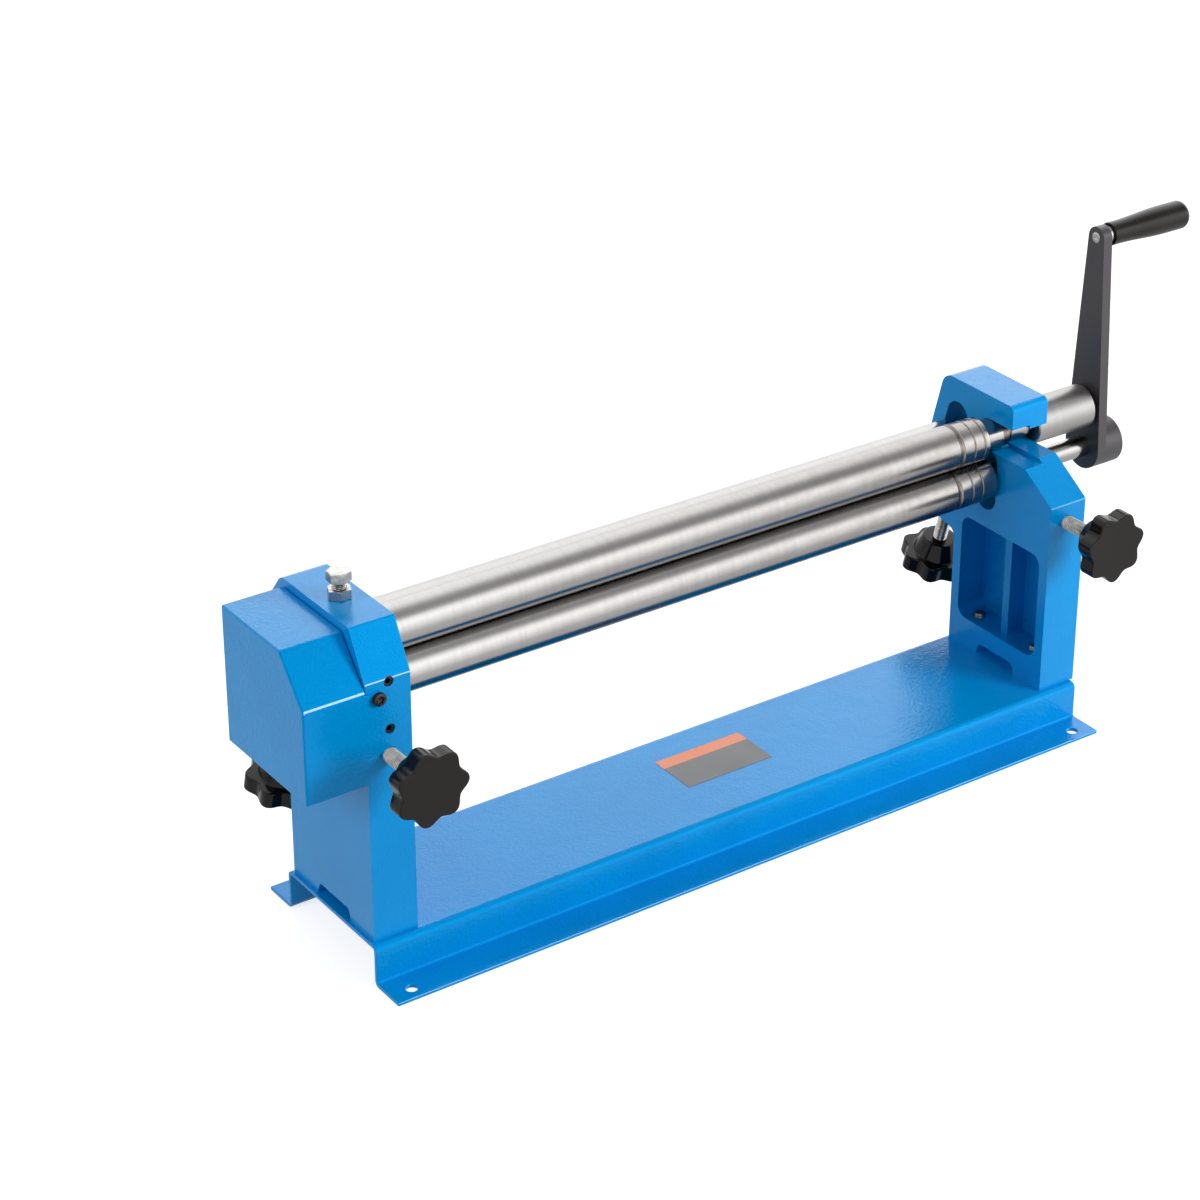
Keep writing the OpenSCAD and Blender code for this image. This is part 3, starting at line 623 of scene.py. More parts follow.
def turn_outward(piece: Piece, fill: bool = False) -> Piece:
    """Turns an object's faces outward.

    Args:
        piece: The object.
        fill: True where its open ends are closed first.

    Returns:
        The same object.
    """
    shape = bmesh.new()
    shape.from_mesh(piece.data)
    if fill:
        bmesh.ops.holes_fill(shape, edges=[edge for edge in shape.edges if edge.is_boundary], sides=0)
    bmesh.ops.recalc_face_normals(shape, faces=shape.faces)
    shape.to_mesh(piece.data)
    shape.free()
    return piece


def along(origin: Sequence[float], axis: Sequence[float], roll: float = 0.0) -> Matrix:
    """A frame whose +Z runs along an axis, turned about it by roll degrees."""
    turn = Vector(axis).to_track_quat("Z", "Y").to_matrix().to_4x4()
    return Matrix.Translation(Vector(origin)) @ turn @ Matrix.Rotation(math.radians(roll), 4, "Z")


def turned(name: str, rings: Sequence[Ring], place: Matrix, segments: int = 96) -> Piece:
    """A closed shape of rings about an axis.

    Args:
        name: Name of the object.
        rings: The rings in order; a radius of 0 closes an end in a pole, and where neither
            end has one the last ring joins the first.
        place: Frame whose +Z is the axis, in millimetres.
        segments: Corners of each ring.

    Returns:
        The object, with the painted shade and satin of each ring as attributes.
    """
    shape = bmesh.new()
    painted_shade_layer = shape.verts.layers.float.new(PAINTED_SHADE)
    satin_layer = shape.verts.layers.float.new(SATIN)
    rows: list[list[bmesh.types.BMVert]] = []
    middle = (rings[0].height + rings[-1].height) / 2
    for ring in rings:
        sign = 1.0 if ring.height >= middle else -1.0
        if ring.radius == 0:
            row = [shape.verts.new(place @ Vector((0, 0, ring.height)) * MM)] * segments
        else:
            row = []
            for i in range(segments):
                angle = 2 * math.pi * i / segments
                reach = ring.reach(angle)
                spot = Vector((reach * math.cos(angle), reach * math.sin(angle), ring.level(angle, sign)))
                row.append(shape.verts.new(place @ spot * MM))
        for vert in set(row):
            vert[painted_shade_layer] = ring.film
            vert[satin_layer] = ring.satin
        rows.append(row)
    if rings[0].radius and rings[-1].radius:
        rows.append(rows[0])
    for low, high in zip(rows, rows[1:]):
        for i in range(segments):
            j = (i + 1) % segments
            corners = list(dict.fromkeys([low[i], low[j], high[j], high[i]]))
            if len(corners) > 2:
                shape.faces.new(corners)
    return from_bmesh(name, shape)


def rounded(corners: Sequence[Triple], steps: int = 10) -> list[Point]:
    """A closed outline whose corners become arcs.

    Args:
        corners: Each corner as (x, y, radius).
        steps: Steps of an arc.

    Returns:
        The outline's points.
    """
    made: list[Point] = []
    for i, (x, y, radius) in enumerate(corners):
        if radius == 0:
            made.append((x, y))
            continue
        here = Vector((x, y))
        before = (Vector(corners[i - 1][:2]) - here).normalized()
        after = (Vector(corners[(i + 1) % len(corners)][:2]) - here).normalized()
        half = before.angle(after) / 2
        middle = here + (before + after).normalized() * radius / math.sin(half)
        start, stop = (here + way * radius / math.tan(half) - middle for way in (before, after))
        first = math.atan2(start.y, start.x)
        by = (math.atan2(stop.y, stop.x) - first + 3 * math.pi) % (2 * math.pi) - math.pi
        for k in range(steps + 1):
            angle = first + by * k / steps
            made.append((middle.x + radius * math.cos(angle), middle.y + radius * math.sin(angle)))
    return made


def plate(name: str, outline: Sequence[Point], x0: float, x1: float) -> Piece:
    """A block with one section all along X.

    Args:
        name: Name of the object.
        outline: The section, as (y, z).
        x0: Where it starts.
        x1: Where it stops.

    Returns:
        The object.
    """
    shape = bmesh.new()
    near, far = ([shape.verts.new((x * MM, y * MM, z * MM)) for y, z in outline] for x in (x0, x1))
    shape.faces.new(near)
    shape.faces.new(far)
    for i, j in enumerate([*range(1, len(outline)), 0]):
        shape.faces.new((near[i], near[j], far[j], far[i]))
    return from_bmesh(name, shape)


def node_copy(name: str, node: str) -> Piece:
    """A merged copy of a node's mesh, with its flat faces whole.

    Args:
        name: Name of the copy.
        node: The node.

    Returns:
        The copy.
    """
    shape = bmesh.new()
    shape.from_mesh(frame["nodes"][node].data)
    bmesh.ops.remove_doubles(shape, verts=shape.verts, dist=MERGE)
    bmesh.ops.dissolve_limit(
        shape, angle_limit=math.radians(FLAT_ANGLE), verts=shape.verts, edges=shape.edges
    )
    return from_bmesh(name, shape)


def settle(piece: Piece) -> Piece:
    """Turns what an object's modifiers make into its own plain mesh.

    Args:
        piece: The object.

    Returns:
        The same object, without modifiers.
    """
    bpy.context.view_layer.update()
    graph = bpy.context.evaluated_depsgraph_get()
    mesh = bpy.data.meshes.new_from_object(
        piece.evaluated_get(graph), preserve_all_data_layers=True, depsgraph=graph
    )
    piece.modifiers.clear()
    piece.data = mesh
    return piece


def takes_painted_highlight(way: Vector) -> bool:
    """True where a rounded edge looks up and to the front, towards the key lamp, and so gets a painted
    highlight.
    """
    return abs(way.x) < KEY_SIDE and way.y < 0 and KEY_TILT[0] < way.z < KEY_TILT[1]


def soften(piece: Piece, width: float, segments: int = 3, limit: float = 30.0) -> Piece:
    """Rounds an object's sharp edges.

    Args:
        piece: The object.
        width: Width of the rounding.
        segments: Steps across it.
        limit: Edges bent by more degrees than this are rounded.

    Returns:
        The same object, with a plain mesh whose rounded edges that face the key are marked for a painted
        highlight.
    """
    mesh = piece.data
    while len(mesh.materials) < 2:
        mesh.materials.append(None)
    mesh.polygons.foreach_set("material_index", [0] * len(mesh.polygons))
    bevel = piece.modifiers.new("rounding", "BEVEL")
    bevel.material = 1
    bevel.width = width * MM
    bevel.segments = segments
    bevel.limit_method = "ANGLE"
    bevel.angle_limit = math.radians(limit)
    bevel.miter_outer = "MITER_ARC"
    bevel.use_clamp_overlap = True
    bevel.harden_normals = False
    settle(piece)
    mesh = piece.data
    # Rounded edges that face the key lamp are marked for the painted highlight.
    marks = mesh.attributes.get(PAINTED_HIGHLIGHT) or mesh.attributes.new(PAINTED_HIGHLIGHT, "FLOAT", "FACE")
    for face in mesh.polygons:
        if face.material_index == 1:
            marks.data[face.index].value = float(takes_painted_highlight(face.normal))
        face.material_index = 0
    return piece


def cut(piece: Piece, tools: Iterable[Piece]) -> Piece:
    """Cuts tool shapes out of an object.

    Args:
        piece: The object.
        tools: The shapes, which are removed.

    Returns:
        The same object.
    """
    for tool in tools:
        opening = piece.modifiers.new("opening", "BOOLEAN")
        opening.operation = "DIFFERENCE"
        opening.solver = "EXACT"
        opening.object = tool
        settle(piece)
        bpy.data.objects.remove(tool)
    return piece


def merged(name: str, parts: Sequence[Piece]) -> Piece:
    """One object from several.

    Args:
        name: Name of the object.
        parts: The objects, which are removed.

    Returns:
        The object.
    """
    shape = bmesh.new()
    for part in parts:
        shape.from_mesh(part.data)
        bpy.data.objects.remove(part)
    return from_bmesh(name, shape, outward=False)


def body_of(node: str) -> str:
    """Name of the body that carries a node."""
    return frame["nodes"][node].parent.name.removeprefix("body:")


def dress(piece: Piece, finish: Finish, edge: float = 32.0) -> None:
    """Gives a mesh its finish, and smooth shading that stays flat on flat faces.

    Args:
        piece: The object.
        finish: Its finish.
        edge: Angle in degrees past which an edge looks sharp.
    """
    piece.data.materials.clear()
    piece.data.materials.append(finish.material())
    piece.data.shade_smooth()
    piece.data.set_sharp_from_angle(angle=math.radians(edge))
    level = piece.modifiers.new("flat_faces", "WEIGHTED_NORMAL")
    level.mode = "FACE_AREA"
    level.weight = 80
    level.keep_sharp = True
    settle(piece)


def install(piece: Piece, node: str, finish: Finish, edge: float = 32.0) -> None:
    """Dresses a piece and puts it on the body of the node it stands for.

    Args:
        piece: The finished mesh.
        node: The node that it replaces.
        finish: Its finish.
        edge: Angle in degrees past which an edge looks sharp.
    """
    dress(piece, finish, edge)
    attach(piece, body_of(node))
    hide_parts(node)
    LOG.info("%s: %d faces, stands for %s", piece.name, len(piece.data.polygons), node)


# Geometry Nodes

class Rule:
    """A Geometry Nodes tree with named inputs, run once on an object.

    Args:
        name: Name of the tree.
        inputs: Socket type of each input but the material, such as Float.
    """

    def __init__(self, name: str, inputs: Mapping[str, str]) -> None:
        """Makes the tree and its interface."""
        self.tree = bpy.data.node_groups.new(name, "GeometryNodeTree")
        self.graph = Graph(self.tree)
        self.keys: dict[str, str] = {}
        for label, kind in {"Geometry": "Geometry", **inputs, "Material": "Material"}.items():
            self.keys[label] = self.socket(label, kind, "INPUT")
        self.socket("Geometry", "Geometry", "OUTPUT")
        self.entry = self.tree.nodes.new("NodeGroupInput")

    def socket(self, label: str, kind: str, side: str) -> str:
        """Adds a socket to the interface and gives its identifier."""
        face = self.tree.interface
        return face.new_socket(name=label, in_out=side, socket_type=f"NodeSocket{kind}").identifier

    def given(self, label: str) -> Wire:
        """The wire of a named input."""
        return Wire(self.graph, self.entry.outputs[label])

    def close(self, geometry: Wire) -> "Rule":
        """Ends the tree in Realize Instances and Set Material.

        Args:
            geometry: What the tree has made.

        Returns:
            The same rule.
        """
        real = self.graph.node("GeometryNodeRealizeInstances", None, {"Geometry": geometry})
        dressed = self.graph.node(
            "GeometryNodeSetMaterial", None, {"Geometry": real, "Material": self.given("Material")}
        )
        self.graph.node("NodeGroupOutput", None, {"Geometry": dressed})
        return self

    def run(self, piece: Piece, values: Mapping[str, Any]) -> Piece:
        """Runs the tree on an object.

        Args:
            piece: The object.
            values: The inputs by name.

        Returns:
            The same object, with the result as its plain mesh.
        """
        modifier = piece.modifiers.new(self.tree.name, "NODES")
        modifier.node_group = self.tree
        for label, value in values.items():
            modifier[self.keys[label]] = value
        return settle(piece)


def thread_rule() -> Rule:
    """A screw thread: a sheet wrapped about +Z, with a ridge that climbs a pitch each turn.

    Returns:
        The tree.
    """
    rule = Rule("screw_thread", {
        **dict.fromkeys(("Radius", "Length", "Pitch", "Depth", "Fade"), "Float"),
        **dict.fromkeys(("Around", "Rows"), "Int"),
    })
    graph = rule.graph
    sheet = graph.node("GeometryNodeMeshGrid", None, {
        "Size X": 1.0, "Size Y": 1.0, "Vertices X": rule.given("Around"), "Vertices Y": rule.given("Rows"),
    })
    spot = graph.node("ShaderNodeSeparateXYZ", None, {0: graph.node("GeometryNodeInputPosition")})
    turn = spot + 0.5
    climb = (spot.other("Y") + 0.5) * rule.given("Length")
    phase = (climb / rule.given("Pitch") - turn).math("FRACT")
    saw = graph.math("ABSOLUTE", phase * 2.0 - 1.0)
    crest, root = 0.12, 0.88
    ridge = graph.span(saw, crest, root)
    from_end = climb.math("MINIMUM", rule.given("Length") - climb)
    fade = (from_end / rule.given("Fade")).math("MINIMUM", 1.0)
    cone = (1.0 - fade) * rule.given("Depth")
    radius = rule.given("Radius") - graph.math("MAXIMUM", ridge * rule.given("Depth"), cone)
    angle = turn * (2 * math.pi)
    wrapped = graph.node("ShaderNodeCombineXYZ", None, {
        0: radius * angle.math("COSINE"), 1: radius * angle.math("SINE"), 2: climb,
    })
    # Painted shade in the thread's roots, fading out towards the rod's ends.
    root_shaded = graph.node(
        "GeometryNodeStoreNamedAttribute", {"data_type": "FLOAT", "domain": "POINT"},
        {"Geometry": sheet, "Name": PAINTED_SHADE, "Value": ridge * ridge * fade},
    )
    placed = graph.node("GeometryNodeSetPosition", None, {"Geometry": root_shaded, "Position": wrapped})
    closed = graph.node("GeometryNodeMergeByDistance", None, {"Geometry": placed, "Distance": SEAM})
    return rule.close(closed)


def lobe_rule() -> Rule:
    """Waves round a turned shape about +Z: points past a radius move in and out.

    Returns:
        The tree.
    """
    rule = Rule("rim_lobes", dict.fromkeys(("Lobes", "Wave", "From", "To"), "Float"))
    graph = rule.graph
    spot = graph.node("ShaderNodeSeparateXYZ", None, {0: graph.node("GeometryNodeInputPosition")})
    across, up = spot, spot.other("Y")
    reach = (across * across + up * up).math("SQRT")
    angle = graph.math("ARCTAN2", up, across)
    share = (reach - rule.given("From")) / (rule.given("To") - rule.given("From"))
    weight = share.math("MAXIMUM", 0.0).math("MINIMUM", 1.0)
    wave = (angle * rule.given("Lobes")).math("COSINE") * rule.given("Wave") * weight
    scale = (reach + wave) / reach.math("MAXIMUM", SEAM)
    placed = graph.node("GeometryNodeSetPosition", None, {
        "Geometry": rule.given("Geometry"),
        "Position": graph.node("ShaderNodeCombineXYZ", None, {
            0: across * scale, 1: up * scale, 2: spot.other("Z"),
        }),
    })
    return rule.close(placed)


def pattern_rule() -> Rule:
    """One shape set at every point of the object.

    Returns:
        The tree.
    """
    rule = Rule("set_at_points", {"Shape": "Object"})
    graph = rule.graph
    shape = graph.node("GeometryNodeObjectInfo", None, {"Object": rule.given("Shape")}, "Geometry")
    spread = graph.node(
        "GeometryNodeInstanceOnPoints", None, {"Points": rule.given("Geometry"), "Instance": shape}
    )
    return rule.close(spread)


def circle_rule() -> Rule:
    """Copies of a flat outline round +X, such as the teeth of a gear, joined at their seams.

    Returns:
        The tree.
    """
    rule = Rule("round_the_axis", {"Count": "Int"})
    graph = rule.graph
    spots = graph.node("GeometryNodePoints", None, {"Count": rule.given("Count")})
    turn = graph.node("GeometryNodeInputIndex") * (2 * math.pi) / rule.given("Count")
    spread = graph.node("GeometryNodeInstanceOnPoints", None, {
        "Points": spots, "Instance": rule.given("Geometry"),
        "Rotation": graph.node("ShaderNodeCombineXYZ", None, {0: turn, 1: 0.0, 2: 0.0}),
    })
    real = graph.node("GeometryNodeRealizeInstances", None, {"Geometry": spread})
    closed = graph.node("GeometryNodeMergeByDistance", None, {"Geometry": real, "Distance": MERGE})
    return rule.close(closed)


@dataclass
class Rules:
    """The trees that the pieces share."""

    thread: Rule = field(default_factory=thread_rule)
    lobes: Rule = field(default_factory=lobe_rule)
    pattern: Rule = field(default_factory=pattern_rule)
    circle: Rule = field(default_factory=circle_rule)


def carried(piece: Piece, place: Matrix) -> Piece:
    """Moves a mesh from its own frame to a place given in millimetres."""
    piece.data.transform(Matrix.Translation(place.to_translation() * MM) @ place.to_3x3().to_4x4())
    return piece


# Fasteners

@dataclass(frozen=True)
class Thread:
    """A threaded rod.

    Args:
        diameter: Over the crests.
        pitch: Climb of a turn.
        length: Length of the rod.
    """

    diameter: float
    pitch: float
    length: float
    depth_share: float = 0.42
    around: int = 40
    rows_per_turn: int = 8

    def build(self, name: str, rules: Rules, place: Matrix, finish: Finish) -> Piece:
        """The rod with closed ends.

        Args:
            name: Name of the object.
            rules: The trees.
            place: Frame that the rod starts at and whose +Z it follows.
            finish: Its finish.

        Returns:
            The object.
        """
        rod = rules.thread.run(link(name, bpy.data.meshes.new(name)), {
            "Radius": self.diameter / 2 * MM, "Length": self.length * MM, "Pitch": self.pitch * MM,
            "Depth": self.pitch * self.depth_share * MM, "Fade": self.pitch * MM,
            "Around": self.around + 1,
            "Rows": round(self.length / self.pitch * self.rows_per_turn) + 1,
            "Material": finish.material(),
        })
        return turn_outward(carried(rod, place), fill=True)


@dataclass(frozen=True)
class HexForm:
    """A bolt head or nut.

    Args:
        flats: Width across flats.
        height: Height along the axis.
        bore: Diameter of its hole, or 0.
        both: True where both faces are chamfered, as on a nut.
    """

    flats: float
    height: float
    bore: float = 0.0
    both: bool = False
    face_share: float = 0.93
    washer_h: float = 0.4
    bore_edge: float = 0.6

    def build(self, name: str, place: Matrix) -> Piece:
        """The hexagon with its chamfers.

        Args:
            name: Name of the object.
            place: Frame that it stands on and whose +Z it follows.

        Returns:
            The object.
        """
        half, inner, edge, top = self.flats / 2, self.bore / 2, self.bore_edge, self.height
        face_r = half * self.face_share
        if self.both:
            rings = [
                Ring(edge, inner), Ring(0.0, inner + edge), Ring(0.0, face_r), Ring(0.0, half, True, face_r),
            ]
        else:
            foot = self.washer_h
            rings = [Ring(0.0, inner), Ring(0.0, face_r), Ring(foot, face_r), Ring(foot, half, True)]
        rings += [Ring(top, half, True, face_r), Ring(top, face_r)]
        rings += [Ring(top, inner + edge), Ring(top - edge, inner)] if inner else [Ring(top, 0.0)]
        return turned(name, rings, place)


@dataclass(frozen=True)
class SocketScrew:
    """A cap screw with a knurled head and a hexagon socket."""

    x: float = -325.2
    z: float = 234.0
    seat_y: float = -57.7
    head_d: float = 10.0
    head_h: float = 4.0
    socket: float = 5.0
    socket_deep: float = 2.0
    knurls: int = 36
    knurl_wave: float = 0.12
    foot: tuple[Point, ...] = ((0.0, -0.3), (0.3, 0.0))
    crown: tuple[Point, ...] = ((-0.9, 0.0), (-0.3, -0.25), (0.0, -0.8))
    mouth: Point = (0.35, 0.45)
    drill_point: float = 0.8

    def build(self, rules: Rules) -> None:
        """The head, knurled by the lobe rule.

        Args:
            rules: The trees.
        """
        r, h, hole, floor = self.head_d / 2, self.head_h, self.socket / 2, self.head_h - self.socket_deep
        rings = [
            Ring(0.0, 0.0), *profile(0.0, r, self.foot), *profile(h, r, self.crown),
            Ring(h, hole + self.mouth[1]), Ring(h - self.mouth[0], hole, True),
            Ring(floor, hole, True), Ring(floor - self.drill_point, 0.0),
        ]
        head = turned("cap_screw_head", rings, Matrix.Identity(4), 288)
        rules.lobes.run(head, {
            "Lobes": float(self.knurls), "Wave": self.knurl_wave * MM,
            "From": rings[1].radius * MM, "To": r * MM, "Material": BLACK_STEEL.material(),
        })
        carried(head, along((self.x, self.seat_y, self.z), (0, -1, 0)))
        install(head, "cover_screw", BLACK_STEEL, 40.0)


@dataclass(frozen=True)
class ClampBolt:
    """The hex bolt on the left housing's top, and its jam nut."""

    x: float = -316.5
    y: float = 6.5
    tip_z: float = 251.1
    nut_z: float = 283.3
    head_z: float = 296.8
    diameter: float = 10.0
    pitch: float = 1.5
    flats: float = 16.0
    height: float = 8.0
    rod_in: float = 0.3
    head_turn: float = 24.0
    nut_turn: float = 8.0

    def build(self, rules: Rules) -> None:
        """Bolt and nut.

        Args:
            rules: The trees.
        """
        rod = Thread(self.diameter, self.pitch, self.head_z - self.tip_z + self.rod_in).build(
            "clamp_thread", rules, along((self.x, self.y, self.tip_z), (0, 0, 1)), ZINC
        )
        head = HexForm(self.flats, self.height).build(
            "clamp_head", along((self.x, self.y, self.head_z), (0, 0, 1), self.head_turn)
        )
        install(merged("clamp_bolt_zinc", [rod, head]), "clamp_bolt", ZINC, SCREW_EDGE)
        nut = HexForm(self.flats, self.height, self.diameter, True).build(
            "clamp_jam_nut_zinc", along((self.x, self.y, self.nut_z), (0, 0, 1), self.nut_turn)
        )
        install(nut, "clamp_jam_nut", ZINC, SCREW_EDGE)


@dataclass(frozen=True)
class HousingBolts:
    """Four bolts that come up through the base, with their washers."""

    left_x: float = -311.5
    right_x: float = 317.5
    middle_y: float = 1.25
    pitch_y: float = 70.0
    washer_z: float = 29.0
    washer_t: float = 2.0
    washer_d: float = 20.0
    washer_edge: float = 0.3
    top_z: float = 63.0
    diameter: float = 10.0
    pitch: float = 1.5
    flats: float = 16.0
    head_h: float = 6.4

    def spread(self, name: str, rules: Rules, shape: Piece, node: str) -> None:
        """Sets a shape at the four places.

        Args:
            name: Name of the piece.
            rules: The trees.
            shape: The shape, which is removed.
            node: The node that the piece stands for.
        """
        mesh = bpy.data.meshes.new(name)
        mesh.from_pydata([
            (x * MM, (self.middle_y + side * self.pitch_y / 2) * MM, 0.0)
            for x in (self.left_x, self.right_x) for side in (-1, 1)
        ], [], [])
        made = rules.pattern.run(link(name, mesh), {"Shape": shape, "Material": DULL_ZINC.material()})
        bpy.data.objects.remove(shape)
        install(made, node, DULL_ZINC, SCREW_EDGE)

    def build(self, rules: Rules) -> None:
        """Bolts and washers.

        Args:
            rules: The trees.
        """
        up, down = (along((0, 0, self.washer_z), (0, 0, way)) for way in (1, -1))
        head = HexForm(self.flats, self.head_h).build("one_head", down)
        thread = Thread(self.diameter, self.pitch, self.top_z - self.washer_z)
        rod = thread.build("one_thread", rules, up, DULL_ZINC)
        self.spread("housing_bolts_zinc", rules, merged("one_bolt", [head, rod]), "housing_bolts")
        r, hole, t, edge = self.washer_d / 2, self.diameter / 2 + 0.1, self.washer_t, self.washer_edge
        washer = turned("one_washer", [
            Ring(0.0, hole), Ring(0.0, r - edge), Ring(edge, r), Ring(t - edge, r), Ring(t, r - edge),
            Ring(t, hole),
        ], up, 64)
        self.spread("housing_washers_zinc", rules, washer, "housing_washers")


# Base, housings and cover

@dataclass(frozen=True)
class Base:
    """The folded base and the bare plate on its top."""

    length: float = 676.0
    width: float = 186.0
    channel: float = 127.0
    height: float = 34.0
    sheet: float = 3.0
    bend: float = 5.0
    hole_d: float = 9.0
    hole_x: float = 320.0
    hole_y: float = 82.0
    plate_low: Point = (-23.0, -14.0)
    plate_high: Point = (59.0, 32.0)
    plate_t: float = 0.25
    band_share: float = 0.27
    edge: float = 0.6
    plate_edge: float = 0.08
    drill: Span = (-5.0, 15.0)

    def outline(self) -> list[Point]:
        """Section of the folded sheet.

        Returns:
            Its points, as (y, z).
        """
        foot, web, t = self.width / 2, self.channel / 2, self.sheet
        inner = self.bend - t
        return rounded([
            (-foot, 0, 0), (-web + t, 0, self.bend), (-web + t, self.height - t, inner),
            (web - t, self.height - t, inner), (web - t, 0, self.bend), (foot, 0, 0),
            (foot, t, 0), (web, t, inner), (web, self.height, self.bend),
            (-web, self.height, self.bend), (-web, t, inner), (-foot, t, 0),
        ], 12)

    def build(self) -> None:
        """Sheet with its foot holes, and the plate."""
        r, (low, high) = self.hole_d / 2, self.drill
        sheet = cut(plate("base_sheet", self.outline(), -self.length / 2, self.length / 2), [
            turned("drill", [Ring(low, 0), Ring(low, r), Ring(high, r), Ring(high, 0)],
                   along((sx * self.hole_x, sy * self.hole_y, 0), (0, 0, 1)), 64)
            for sx in (-1, 1) for sy in (-1, 1)
        ])
        install(soften(sheet, self.edge, limit=40.0), "base_channel", BLUE)
        self.bare_plate()

    def bare_plate(self) -> None:
        """Thin plate with two plain fields and nothing written on it."""
        (x0, y0), (x1, y1) = self.plate_low, self.plate_high
        z0, z1 = self.height, self.height + self.plate_t
        split = y1 - (y1 - y0) * self.band_share
        for name, low, high, finish in (
            ("plate_field", y0, split, PLATE_GREY), ("plate_band", split, y1, PLATE_BAND),
        ):
            block = plate(name, [(low, z0), (high, z0), (high, z1), (low, z1)], x0, x1)
            piece = soften(block, self.plate_edge, 2)
            dress(piece, finish)
            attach(piece, body_of("base_channel"))
            LOG.info("%s: bare plate on the base", name)


@dataclass(frozen=True)
class Casting:
    """A piece whose form is its node's own, with rounded edges.

    Args:
        node: The node.
        suffix: What the piece's name adds to the node's.
        finish: Its finish.
        edge: Width of the rounding.
    """

    node: str
    suffix: str
    finish: Finish
    edge: float

    def rounded_form(self, limit: float = 30.0) -> Piece:
        """The node's form with the edges rounded that bend by more than a limit in degrees."""
        return soften(node_copy(f"{self.node}_{self.suffix}", self.node), self.edge, limit=limit)

    def build(self) -> None:
        """The piece with its finish."""
        install(self.rounded_form(), self.node, self.finish)


@dataclass(frozen=True)
class Hollow:
    """A hollow in a housing: what lies within a distance of a line in Y and Z.

    Args:
        start: One end of the line.
        stop: The other end.
        reach: Distance from the line.
        film: Share of painted shade in it.
    """

    start: Point
    stop: Point
    reach: float
    film: float

    def holds(self, spot: Vector) -> bool:
        """Tells whether a point lies in the hollow.

        Args:
            spot: The point in millimetres.

        Returns:
            True where it lies in it.
        """
        here, start = Vector((spot.y, spot.z)), Vector(self.start)
        way = Vector(self.stop) - start
        share = min(1.0, max(0.0, (here - start).dot(way) / way.length_squared))
        return (here - start - way * share).length <= self.reach


@dataclass(frozen=True)
class Housing(Casting):
    """A cast housing with painted shade in its slots and its pocket, and a painted highlight on its front
    fold.

    Args:
        low_x: Its left face.
        high_x: Its right face.
        painted_glint: Share of painted highlight on the front fold.
        hollows: Its hollows.
        skin: Faces this near the outer faces stay clean.
        narrow: Largest area of a face of the rounded fold.
        tilt: How far such a face looks up, from and to.
        limit: Edges bent by more degrees than this are rounded.
    """

    low_x: float
    high_x: float
    painted_glint: float
    hollows: tuple[Hollow, ...]
    skin: float = 1.0
    narrow: float = 40.0
    tilt: Span = (0.02, 0.46)
    limit: float = 24.0

    def build(self) -> None:
        """The piece with painted shade in its hollows."""
        piece = self.rounded_form(self.limit)
        self.paint_shade(piece.data)
        install(piece, self.node, self.finish)

    def paint_shade(self, mesh: bpy.types.Mesh) -> None:
        """Gives inner faces the painted shade of the hollow that holds them, and the front fold its painted
        highlight.

        Args:
            mesh: The housing's mesh.
        """
        film = mesh.attributes.new(PAINTED_SHADE, "FLOAT", "FACE")
        bend = mesh.attributes[PAINTED_HIGHLIGHT]
        low, high = self.tilt
        for face in mesh.polygons:
            way = face.normal
            # Painted highlight on the narrow faces of the rounded front fold.
            if way.y < -0.5 and low < way.z < high and face.area / MM ** 2 < self.narrow:
                bend.data[face.index].value = self.painted_glint
            # Painted shade on inner faces, as much as the hollow that holds them gives.
            spots = [mesh.vertices[i].co / MM for i in face.vertices]
            if all(self.low_x + self.skin > s.x or s.x > self.high_x - self.skin for s in spots):
                continue
            held = [h.film for h in self.hollows if all(h.holds(s) for s in spots)]
            film.data[face.index].value = max(held, default=0.0)


@dataclass(frozen=True)
class GearCover:
    """The folded cover over the gears: one bent sheet, open below and towards the housing."""

    left: float = -385.3
    right: float = -336.0
    front: float = -57.7
    rear: float = 54.9
    top: float = 277.0
    low: float = 166.9
    fold_y: float = -27.8
    fold_z: float = 241.6
    flange: tuple[Point, Point] = ((-326.0, 189.0), (-320.7, 238.8))
    flange_r: float = 3.0
    sheet: float = 1.2
    bend: float = 1.6
    rim: float = 0.25

    def front_points(self) -> list[Point]:
        """Outline of the front wall and its flange, as (x, z).

        Returns:
            Its points.
        """
        low, high = self.flange
        return rounded([
            (self.left, self.low, 0), (self.right, self.low, 0), (*low, self.flange_r),
            (*high, self.flange_r), (self.right, high[1], 0), (self.right, self.fold_z, 0),
            (self.left, self.fold_z, 0),
        ], 6)

    def build(self) -> None:
        """Walls as one skin that faces out, bent, then given the sheet's thickness."""
        bends = [
            (self.front, self.fold_z), (self.fold_y, self.top), (self.rear, self.top), (self.rear, self.low),
        ]
        walls = [[(x, self.front, z) for x, z in self.front_points()]]
        walls += [
            [(self.left, *low), (self.right, *low), (self.right, *high), (self.left, *high)]
            for low, high in zip(bends, bends[1:])
        ]
        walls.append([(self.left, y, z) for y, z in [(self.front, self.low), *bends]])
        shape = bmesh.new()
        for wall in walls:
            shape.faces.new([shape.verts.new(Vector(spot) * MM) for spot in wall])
        bmesh.ops.remove_doubles(shape, verts=shape.verts, dist=MERGE)
        cover = from_bmesh("gear_cover_sheet", shape)
        if min(cover.data.polygons, key=lambda face: face.center.y).normal.y > 0:
            cover.data.flip_normals()
        soften(cover, self.bend, 4, 20.0)
        wall = cover.modifiers.new("sheet", "SOLIDIFY")
        wall.thickness = self.sheet * MM
        wall.offset = -1.0
        wall.use_even_offset = True
        settle(cover)
        install(soften(cover, self.rim, 2, 60.0), "gear_cover", BLUE)


# Rolls

